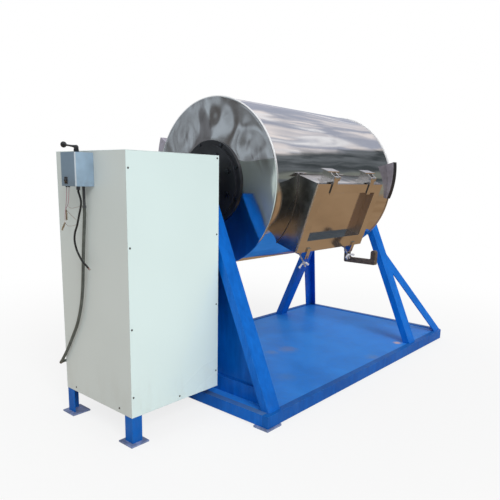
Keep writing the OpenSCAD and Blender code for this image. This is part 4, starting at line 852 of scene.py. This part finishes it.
class MIXER_OT_drum(bpy.types.Operator):
    """Rolls the drum's shell, presses its end plates and finishes hubs, shafts and bearings"""

    bl_idname = "mixer.drum"
    bl_label = "Drum"

    def execute(self, context):
        low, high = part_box("drum_end_plates")
        near, far = low[0] + 0.008, high[0] - 0.008
        self.shell(near + 0.002, far - 0.002, polished_steel("shell_steel", 0.010, 1.9, (0.7, 1.6, 1.6)))
        self.end_plates(near, far, polished_steel("plate_steel", 0.014, 1.8, rough=0.07, mark=plate_painted_reflections))
        dress(polished_steel("neck_steel", 0.005, 3.0, rough=0.09, mark=neck_wall_shade),
              "door_neck", "mixing_blades")
        dress(polished_steel("bracket_steel", 0.002, 6.0, rough=0.16), "door_brackets")
        dress(bright_zinc("pin_steel"), "door_pins")
        dress(bright_zinc("dark_bolt_steel", (0.12, 0.13, 0.15), rough=0.24), "hub_bolts")
        dress(bright_zinc("shaft_steel", (0.55, 0.55, 0.56), rough=0.2), "drum_shafts", "motor_rotor")
        dress(bright_zinc("insert_steel", (0.30, 0.30, 0.31), rough=0.3), "bearing_inserts")
        dress(black_enamel("hub_enamel", colours().hub), "hub_flanges")
        dress(cast_paint("bearing_enamel", colours().bearing, 0.9, (0.16, 0.22, 0.2)), "bearing_housings")
        dress(bright_zinc("mount_zinc", (0.45, 0.44, 0.42), rough=0.3), "mounting_bolts")
        dress(lug_finish(), "rim_lugs")
        self.neck_weld(bright_zinc("weld_steel", (0.34, 0.33, 0.33), rough=0.42))
        return {"FINISHED"}

    def shell(self, x0, x1, material):
        """A thin round wall with the opening for the neck left out."""
        low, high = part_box("door_panel")
        lap, open_half_height = 0.004, 0.212
        open_x0, open_x1 = low[0] + lap, high[0] - lap
        half = math.asin(open_half_height / DRUM_RADIUS)
        middle = math.pi + DOOR_TILT
        before, across, after, round_open, round_rest = 10, 30, 22, 28, 164
        angles = steps(middle - half, middle + half, round_open)[:-1]
        angles += steps(middle + half, middle - half + 2 * math.pi, round_rest)[:-1]
        xs = steps(x0, open_x0, before)[:-1] + steps(open_x0, open_x1, across)[:-1]
        xs += steps(open_x1, x1, after)
        bm = bmesh.new()
        grid = {}
        for layer, radius in enumerate((DRUM_RADIUS, DRUM_RADIUS - SHELL_THICKNESS)):
            for i, x in enumerate(xs):
                for k, a in enumerate(angles):
                    place = (x, radius * math.cos(a), AXIS_Z + radius * math.sin(a))
                    grid[layer, i, k] = bm.verts.new(place)
        count, last = len(angles), len(xs) - 1
        open_columns, open_rows = range(before, before + across), range(round_open)
        for i in range(last):
            for k in range(count):
                if i in open_columns and k in open_rows:
                    continue
                n = (k + 1) % count
                for layer in (0, 1):
                    bm.faces.new([grid[layer, a, b] for a, b in ((i, k), (i + 1, k), (i + 1, n), (i, n))])
        edges = [((i, k), (i, (k + 1) % count)) for i in (0, last) for k in range(count)]
        edges += [((i, k), (i, k + 1)) for i in (before, before + across) for k in open_rows]
        edges += [((i, k), (i + 1, k)) for k in (0, round_open) for i in open_columns]
        for (i, k), (j, n) in edges:
            bm.faces.new([grid[0, i, k], grid[0, j, n], grid[1, j, n], grid[1, i, k]])
        piece("drum_wall", bm, material, "drum", ["drum_shell"], sharp=40)

    def end_plates(self, near, far, material):
        """Dished plates with a rolled bead, dented as thin pressed sheet is."""
        flat, dish_start, dish_end = 0.008, 0.252, 0.493
        bm = bmesh.new()
        for x, towards, phase in ((near, -1, 0.0), (far, 1, 2.0)):
            place = facing_frame((x, 0, AXIS_Z), (towards, 0, 0))
            profile = [(0.0302, flat)] + [(r, flat) for r in steps(0.06, 0.246, 5)] + [(dish_start, flat)]
            profile += [(0.258 + 0.232 * t, flat * (1 - t)) for t in steps(0.02, 0.98, 30)]
            profile += [(dish_end, 0.0), (0.500, 0.0)]
            profile += arc(0.500, -0.006, 0.006, 90, -90, 12)[1:]
            profile += [(0.5002, -0.0116), (0.5002, -0.0022), (0.4968, -0.0022), (0.4968, -0.0038)]
            profile += [(0.30, -0.0034), (0.0302, 0.004)]
            rings_before = len(bm.verts)
            lathe(bm, profile, place, 240, closed=True)
            bm.verts.ensure_lookup_table()
            for vertex in bm.verts[rings_before:]:
                self.dent(vertex, x, towards, phase)
        piece("dished_ends", bm, material, "drum", ["drum_end_plates"], sharp=40)

    def dent(self, vertex, x, towards, phase):
        """Moves a point of the dished part: waves round the plate, with a few deeper folds."""
        y, z = vertex.co.y, vertex.co.z - AXIS_Z
        radius = math.hypot(y, z)
        height = (vertex.co.x - x) * towards
        inner, outer = 0.262, 0.488
        if not inner < radius < outer or height < -0.002:
            return
        share = (radius - inner) / (outer - inner)
        fade = math.sin(math.pi * share) ** 1.4
        angle = math.atan2(z, -y)
        wave = 0.55 * math.sin(7 * angle + phase + 2.2 * share)
        wave += 0.45 * math.sin(11 * angle - 1.3 + phase - 3 * share)
        folds = (0.80, 1.55, 2.35, -0.9, -2.1)
        creases = sum(math.exp(-(((angle - fold + 0.25 * share) / 0.17) ** 2)) for fold in folds)
        depth = 0.062 * (wave - 0.6) - 0.09 * creases
        vertex.co.x += towards * fade * sizes().dent_depth * depth

    def neck_weld(self, material):
        """The bead that joins the neck to the shell."""
        place = door_place()
        half_x, half_y = NECK_HALF_LENGTH, NECK_HALF_HEIGHT
        along, up = steps(-half_x, half_x, 28), steps(-half_y, half_y, 40)
        loop = [(x, -half_y) for x in along] + [(half_x, y) for y in up[1:-1]]
        loop += [(x, half_y) for x in along[::-1]] + [(-half_x, y) for y in up[-2::-1]]
        on_shell = [(x * 1.003, y * 1.004, math.sqrt(DRUM_RADIUS ** 2 - y * y) + 0.0012) for x, y in loop]
        points = [place @ Vector(p) for p in on_shell]
        fine = [a.lerp(b, k / 8) for a, b in zip(points, points[1:]) for k in range(8)] + [points[-1]]
        bm = bmesh.new()
        tube(bm, fine, lambda t: 0.0024 + 0.0004 * math.sin(t * 900), 10, caps=False)
        piece("neck_bead", bm, material, "drum", sharp=80)


class MIXER_OT_door(bpy.types.Operator):
    """Finishes the door, its seal and its straps"""

    bl_idname = "mixer.door"
    bl_label = "Door"

    def execute(self, context):
        dress(polished_steel("door_steel", 0.003, 3.0, rough=0.10, mark=recess_painted_reflection), "door_panel")
        dress(polished_steel("strap_steel", 0.001, 6.0, rough=0.14), "door_straps")
        dress(moulded("seal_rubber", colours().seal, 0.55, 0.3), "door_gasket")
        return {"FINISHED"}


class MIXER_OT_clamps(bpy.types.Operator):
    """Makes the wing nuts and cuts the thread on the swing bolts"""

    bl_idname = "mixer.clamps"
    bl_label = "Door clamps"

    def execute(self, context):
        thread_pitch, bolt_axis = 0.0022, 2
        zinc = bright_zinc("bolt_zinc", (0.84, 0.84, 0.88), (thread_pitch, bolt_axis), 0.20, 0.4)
        dress(zinc, "left_swing_bolt", "right_swing_bolt")
        chrome = bright_zinc("wing_chrome", (0.92, 0.92, 0.96), rough=0.16, metal=0.35)
        hub = [(0.00506, 0.0), (0.0098, 0.0), (0.0104, 0.0008), (0.0100, 0.009), (0.0088, 0.0136),
               (0.0080, 0.0143), (0.00506, 0.0143)]
        nut_up_bolt = 0.070
        pin_out, pin_down, pin_lift = 0.260, 0.245, 0.550
        for side, across, first in (("left", -pin_out, 0), ("right", pin_out, 180)):
            on_bolt = turned("X", CLAMP_REST) @ Matrix.Translation((0, 0, nut_up_bolt))
            place = door_place() @ Matrix.Translation((across, -pin_down, pin_lift)) @ on_bolt
            bm = bmesh.new()
            lathe(bm, hub, place, 40, closed=True)
            for turn in range(3):
                self.wing(bm, place @ turned("Z", first + 120 * turn))
            piece(f"{side}_wing", bm, chrome, f"{side}_nut", [f"{side}_wing_nut"], sharp=60)
        return {"FINISHED"}

    def wing(self, bm, place):
        """A wing that rises from the hub and ends in a rounded pad."""
        shares = steps(0, 1, 14)[:-1]
        points = [place @ Vector((0.006 + 0.0285 * t, 0, 0.0062 + 0.0125 * t ** 1.5)) for t in shares]
        tip = place @ Vector((0.0340, 0, 0.0190))
        tube(bm, points + [tip], lambda t: 0.0056 + 0.0012 * t ** 3, 14)
        pad = Matrix.Translation(tip)
        bmesh.ops.create_uvsphere(bm, u_segments=18, v_segments=12, radius=0.0078, matrix=pad)


class MIXER_OT_latch(bpy.types.Operator):
    """Casts the latch lever with its ribbed arm and upturned end"""

    bl_idname = "mixer.latch"
    bl_label = "Latch lever"

    def execute(self, context):
        low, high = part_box("latch_lever")
        boss_radius, drop = 0.016, 0.074
        pivot = Vector(((low[0] + high[0]) / 2, high[1] - boss_radius, low[2] + drop))
        outline = arc(0, 0, 0.0158, 0, 180, 12)
        outline += [(-0.0158, -0.060)] + arc(-0.0058, -0.064, 0.010, 180, 270, 5)
        outline += [(0.212, -drop)] + arc(0.215, -0.067, 0.007, 270, 360, 4)
        outline += [(0.222, 0.006)] + arc(0.205, 0.007, 0.017, 0, 180, 10)
        outline += [(0.188, -0.027)] + arc(0.176, -0.028, 0.012, 0, -90, 5)
        outline += [(0.034, -0.0405)] + arc(0.030, -0.027, 0.0135, -90, -160, 4)
        place = Matrix(((0, 0, 1), (-1, 0, 0), (0, 1, 0))).to_4x4()
        place.translation = pivot
        bm = bmesh.new()
        prism(bm, outline, place, 0.034)
        sides = [f for f in bm.faces if len(f.verts) > 10]
        bmesh.ops.inset_individual(bm, faces=sides, thickness=0.0065, depth=-0.009, use_even_offset=True)
        bmesh.ops.bevel(bm, geom=[e for e in bm.edges if e.calc_face_angle(0) > 0.6], offset=0.0018,
                        segments=2, affect="EDGES", clamp_overlap=True)
        boss = [(0.0061, 0.0168), (0.0135, 0.0168), (0.0145, 0.0158)]
        lathe(bm, [(r, -h) for r, h in boss] + boss[::-1], place, 36, closed=True)
        brown = cast_paint("brown_casting", colours().casting, 1.3, (0.46, 0.38, 0.30), 0.45, 0.40, 0.002)
        piece("cast_lever", bm, brown, "lever", ["latch_lever"], sharp=45)
        return {"FINISHED"}


class MIXER_OT_control_box(bpy.types.Operator):
    """Paints the control box and shapes its ball-ended lever"""

    bl_idname = "mixer.control_box"
    bl_label = "Control box"

    def execute(self, context):
        dress(box_enamel(), "control_box")
        fitting = moulded("fitting_plastic", (0.055, 0.057, 0.062), 0.32, 0.15, ring=0.006)
        dress(fitting, "box_fittings")
        gloss = moulded("gloss_black", (0.010, 0.010, 0.012), 0.18, 0.05, coat=0.5)
        dress(gloss, "rocker_switch")
        brass = bright_zinc("clip_metal", colours().brass, rough=0.26)
        dress(brass, "clip_bodies", "upper_clip_jaw", "lower_clip_jaw")
        self.lever(moulded("lever_black", (0.014, 0.015, 0.017), 0.30, 0.12, coat=0.3))
        return {"FINISHED"}

    def lever(self, material):
        """A boss on the box, and an arm with a ball that leans up and across."""
        root = BOX_FOOT + Vector((-0.050, 0.023, 0.160))
        bm = bmesh.new()
        boss = [(0, -0.0198), (0.0058, -0.0198), (0.0058, 0.0008), (0.0112, 0.0008), (0.0124, 0.0022)]
        boss += [(0.0124, 0.012), (0.0110, 0.019), (0.0116, 0.024)] + arc(0, 0.0245, 0.0114, 0, 90, 8)[:-1]
        lathe(bm, boss + [(0, 0.0359)], Matrix.Translation(root), 40)
        lean, swing = math.radians(7), 6
        ahead = turned("Z", swing) @ Vector((0, math.cos(lean), math.sin(lean)))
        place = facing_frame(root + Vector((0, 0, 0.027)), ahead)
        ball_centre, ball_radius = 0.097, 0.015
        arm = [(0, 0.001), (0.0074, 0.001), (0.0070, 0.014), (0.0052, 0.030), (0.0044, 0.055)]
        arm += [(0.0047, 0.074), (0.0066, 0.0815), (0.0072, 0.0840)]
        arm += arc(0, ball_centre, ball_radius, -58, 90, 14)[:-1]
        lathe(bm, arm + [(0, ball_centre + ball_radius)], place, 40)
        piece("ball_lever", bm, material, "switch", ["switch_lever"], sharp=60)


class MIXER_OT_drive(bpy.types.Operator):
    """Finishes the motor, gearbox, pulleys and belts inside the cabinet"""

    bl_idname = "mixer.drive"
    bl_label = "Drive"

    def execute(self, context):
        dress(cast_paint("motor_enamel", colours().motor, 0.6, (0.3, 0.32, 0.34), rough=0.35, round_by=0.003),
              "gearbox_housing", "motor_body", "motor_fan_cover")
        dress(cast_paint("pulley_iron", (0.09, 0.09, 0.092), 0.6, (0.45, 0.44, 0.42), 0.8, 0.35, 0.0015),
              "driven_pulley", "drive_pulley")
        dress(moulded("belt_rubber", (0.012, 0.012, 0.012), 0.6, 0.4), "drive_belts")
        return {"FINISHED"}


class MIXER_OT_stage(bpy.types.Operator):
    """Sets the pale floor, the reflector surround, the soft lights and the camera"""

    bl_idname = "mixer.stage"
    bl_label = "Stage"

    def execute(self, context):
        self.floor()
        self.surround()
        self.world()
        self.lights()
        self.camera()
        return {"FINISHED"}

    def background_rays(self, s):
        """1 for the rays that see a background: from the camera, and off metal or glass."""
        path = s.node("ShaderNodeLightPath")
        out = path.socket.node.outputs
        seen = Signal(s, out["Is Camera Ray"])
        return seen.most(Signal(s, out["Is Glossy Ray"])).most(Signal(s, out["Is Transmission Ray"]))

    def floor(self):
        material, s = new_material("pale_floor")
        pale = s.node("ShaderNodeBsdfDiffuse", values={"Color": (0.86, 0.86, 0.86)}, out="BSDF")
        white = {"Color": (1.0, 1.0, 1.0), "Strength": 1.0}
        glow = s.node("ShaderNodeEmission", values=white, out="Emission")
        x, y = s.parts(s.place())[:2]
        away = ((x * x + y * y) ** 0.5).between(1.2, 4.5)
        seen = self.background_rays(s) * (0.80 + 0.20 * away)
        s.finish(s.node("ShaderNodeMixShader", values={0: seen, 1: pale, 2: glow}, out="Shader"))
        mesh = bpy.data.meshes.new("floor")
        corners = ((-1, -1), (1, -1), (1, 1), (-1, 1))
        mesh.from_pydata([(FLOOR_HALF * x, FLOOR_HALF * y, 0) for x, y in corners], [], [(0, 1, 2, 3)])
        mesh.materials.append(material)
        floor = linked("floor", mesh)

    def surround(self):
        """A dome and a ground card, seen only in polished metal: sky, a tree line and bare ground."""
        bm = bmesh.new()
        bmesh.ops.create_uvsphere(bm, u_segments=64, v_segments=48, radius=SURROUND_RADIUS)
        bmesh.ops.bisect_plane(bm, geom=bm.verts[:] + bm.edges[:] + bm.faces[:], plane_co=(0, 0, 0.002),
                               plane_no=(0, 0, 1), clear_inner=True)
        bmesh.ops.holes_fill(bm, edges=[e for e in bm.edges if e.is_boundary])
        mesh = bpy.data.meshes.new("surround")
        bm.to_mesh(mesh)
        bm.free()
        material, s = new_material("surround_card")
        x, y, z = s.parts(s.place())
        level = (z - AXIS_Z) / SURROUND_RADIUS
        east, north = x / SURROUND_RADIUS, y / SURROUND_RADIUS
        heading = s.node("ShaderNodeCombineXYZ", values={0: east, 1: north, 2: level})
        far_left = (north - east).between(0.3, 1.0)
        card = self.sky(s, heading, far_left)
        card = self.tree_line(s, heading, level, north, far_left, card)
        card = s.blend(z.between(0.02, 0.01), card, self.ground(s, x, y))
        s.finish(s.node("ShaderNodeEmission", values={"Color": card, "Strength": 1.0}, out="Emission"))
        material.cycles.emission_sampling = "NONE"
        mesh.materials.append(material)
        dome = linked("surround", mesh)
        for kind in ("camera", "diffuse", "shadow", "transmission"):
            setattr(dome, "visible_" + kind, False)

    def sky(self, s, heading, far_left):
        """Pale haze with grey cloud and white patches, and bare branches at the far left."""
        clouds = s.noise(heading, 3.2, 4.0, 0.6, 1.0)
        sky = s.blend(clouds.between(0.40, 0.54), (0.42, 0.45, 0.55), (0.98, 0.92, 0.91))
        patches = s.noise(s.stretched(heading, (1.0, 1.0, 2.0)), 2.3, 3.0, 0.6, 1.2)
        sky = s.blend(patches.between(0.55, 0.64), sky, (0.95, 0.96, 1.0))
        branches = s.noise(s.stretched(heading, (1.0, 1.0, 0.45)), 15.0, 4.0, 0.6, 1.2)
        dull = s.blend(branches.between(0.40, 0.53), (0.085, 0.080, 0.078), (0.42, 0.48, 0.54))
        return s.blend(far_left, sky, dull)

    def tree_line(self, s, heading, level, north, far_left, sky):
        """Dark trees up to a ragged top, with a paler hedge and a verge under them."""
        open_side = north.between(-0.25, 0.25)
        tops = 0.32 + s.noise(heading, 5.0, 4.0, 0.7) * 0.20 - far_left * 0.34 - open_side * 0.36
        crowns = s.noise(heading, 11.0, 4.0, 0.75).between(0.38, 0.64)
        woods = s.blend(crowns, (0.050, 0.060, 0.066), (0.17, 0.19, 0.21))
        hedge = level.between(0.20, 0.15) * level.between(0.06, 0.09)
        woods = s.blend(hedge * 0.8, woods, (0.24, 0.26, 0.23))
        woods = s.blend(far_left * 0.9, woods, (0.19, 0.225, 0.21))
        scene = s.blend((level - tops).between(0.03, -0.03), sky, woods)
        return s.blend(level.between(0.02, -0.02), scene, (0.28, 0.275, 0.22))

    def ground(self, s, x, y):
        """Bare earth, greener far off, with a dark patch where the viewer would stand."""
        away = (x * x + y * y) ** 0.5
        soil = s.noise(s.place(), 0.9, 4.0, 0.6)
        earth = s.blend(soil.between(0.35, 0.7), (0.30, 0.19, 0.105), (0.36, 0.24, 0.14))
        earth = s.blend(away.between(6.5, 10.5), earth, (0.26, 0.25, 0.20))
        patch_x, patch_y = x + 4.2, y + 3.3
        near = (patch_x * patch_x + patch_y * patch_y) ** 0.5
        return s.blend((near + soil * 0.6).between(3.7, 2.9), earth, (0.028, 0.032, 0.034))

    def world(self):
        world = bpy.data.worlds.new("soft_studio")
        world.use_nodes = True
        bpy.context.scene.world = world
        s = Shader(world.node_tree)
        light, white = (
            s.node("ShaderNodeBackground", values={"Color": colour, "Strength": strength}, out="Background")
            for colour, strength in (((1.0, 0.98, 0.96), 0.52), ((1.0, 1.0, 1.0), 1.0))
        )
        seen = self.background_rays(s)
        mix = s.node("ShaderNodeMixShader", values={0: seen, 1: light, 2: white}, out="Shader")
        s.finish(mix, "ShaderNodeOutputWorld")
        bpy.context.scene.view_settings.view_transform = "Standard"

    def lights(self):
        for name, strength, spread, towards, colour in (
            ("key", 1.60, 28, (0.34, 0.72, -0.60), (0.96, 0.99, 1.0)),
            ("fill", 0.08, 60, (0.9, 0.2, -0.35), (1.0, 0.97, 0.94)),
        ):
            data = bpy.data.lights.new(name, "SUN")
            data.energy = strength
            data.angle = math.radians(spread)
            data.color = colour
            lamp = linked(name, data)
            lamp.rotation_euler = Vector(towards).to_track_quat("-Z", "Y").to_euler()
            lamp.visible_glossy = False

    def camera(self):
        """Stands where the photograph was taken from; yaw is measured from Y towards X."""
        eye = (-2.914, -2.350, 1.328)
        yaw, pitch, roll = (math.radians(a) for a in (49.43, -10.98, 1.18))
        flat = math.cos(pitch)
        ahead = Vector((math.sin(yaw) * flat, math.cos(yaw) * flat, math.sin(pitch)))
        level = Vector((math.cos(yaw), -math.sin(yaw), 0))
        up = level.cross(ahead)
        right = level * math.cos(roll) + up * math.sin(roll)
        up = up * math.cos(roll) - level * math.sin(roll)
        data = bpy.data.cameras.new("camera")
        data.lens = 38.29
        data.sensor_width = 36
        data.sensor_fit = "HORIZONTAL"
        data.shift_x = -0.0090
        data.shift_y = 0.0634
        camera = linked("camera", data)
        place = Matrix((right, up, -ahead)).transposed().to_4x4()
        place.translation = eye
        camera.matrix_world = place
        bpy.context.scene.camera = camera


# Panel and start


class MIXER_PT_sidebar(bpy.types.Panel):
    """Lists the mixer's pieces in the sidebar"""

    bl_idname = "MIXER_PT_sidebar"
    bl_label = "Drum Mixer"
    bl_space_type = "VIEW_3D"
    bl_region_type = "UI"
    bl_category = "Drum Mixer"

    def draw(self, context):
        for group in (context.scene.mixer_sizes, context.scene.mixer_colours):
            column = self.layout.column(align=True)
            for name in group.__annotations__:
                column.prop(group, name)
        column = self.layout.column(align=True)
        for step in OPERATORS:
            column.operator(step.bl_idname)


OPERATORS = (
    MIXER_OT_stage,
    MIXER_OT_cords,
    MIXER_OT_stand,
    MIXER_OT_cabinet,
    MIXER_OT_drum,
    MIXER_OT_door,
    MIXER_OT_clamps,
    MIXER_OT_latch,
    MIXER_OT_control_box,
    MIXER_OT_drive,
)
CLASSES = (MixerSizes, MixerColours, *OPERATORS, MIXER_PT_sidebar)


def register():
    for made in CLASSES:
        bpy.utils.register_class(made)
    bpy.types.Scene.mixer_sizes = PointerProperty(type=MixerSizes)
    bpy.types.Scene.mixer_colours = PointerProperty(type=MixerColours)


def unregister():
    del bpy.types.Scene.mixer_colours
    del bpy.types.Scene.mixer_sizes
    for made in reversed(CLASSES):
        bpy.utils.unregister_class(made)


def main():
    register()
    for step in OPERATORS:
        group, name = step.bl_idname.split(".")
        getattr(getattr(bpy.ops, group), name)()


if __name__ == "__main__":
    main()
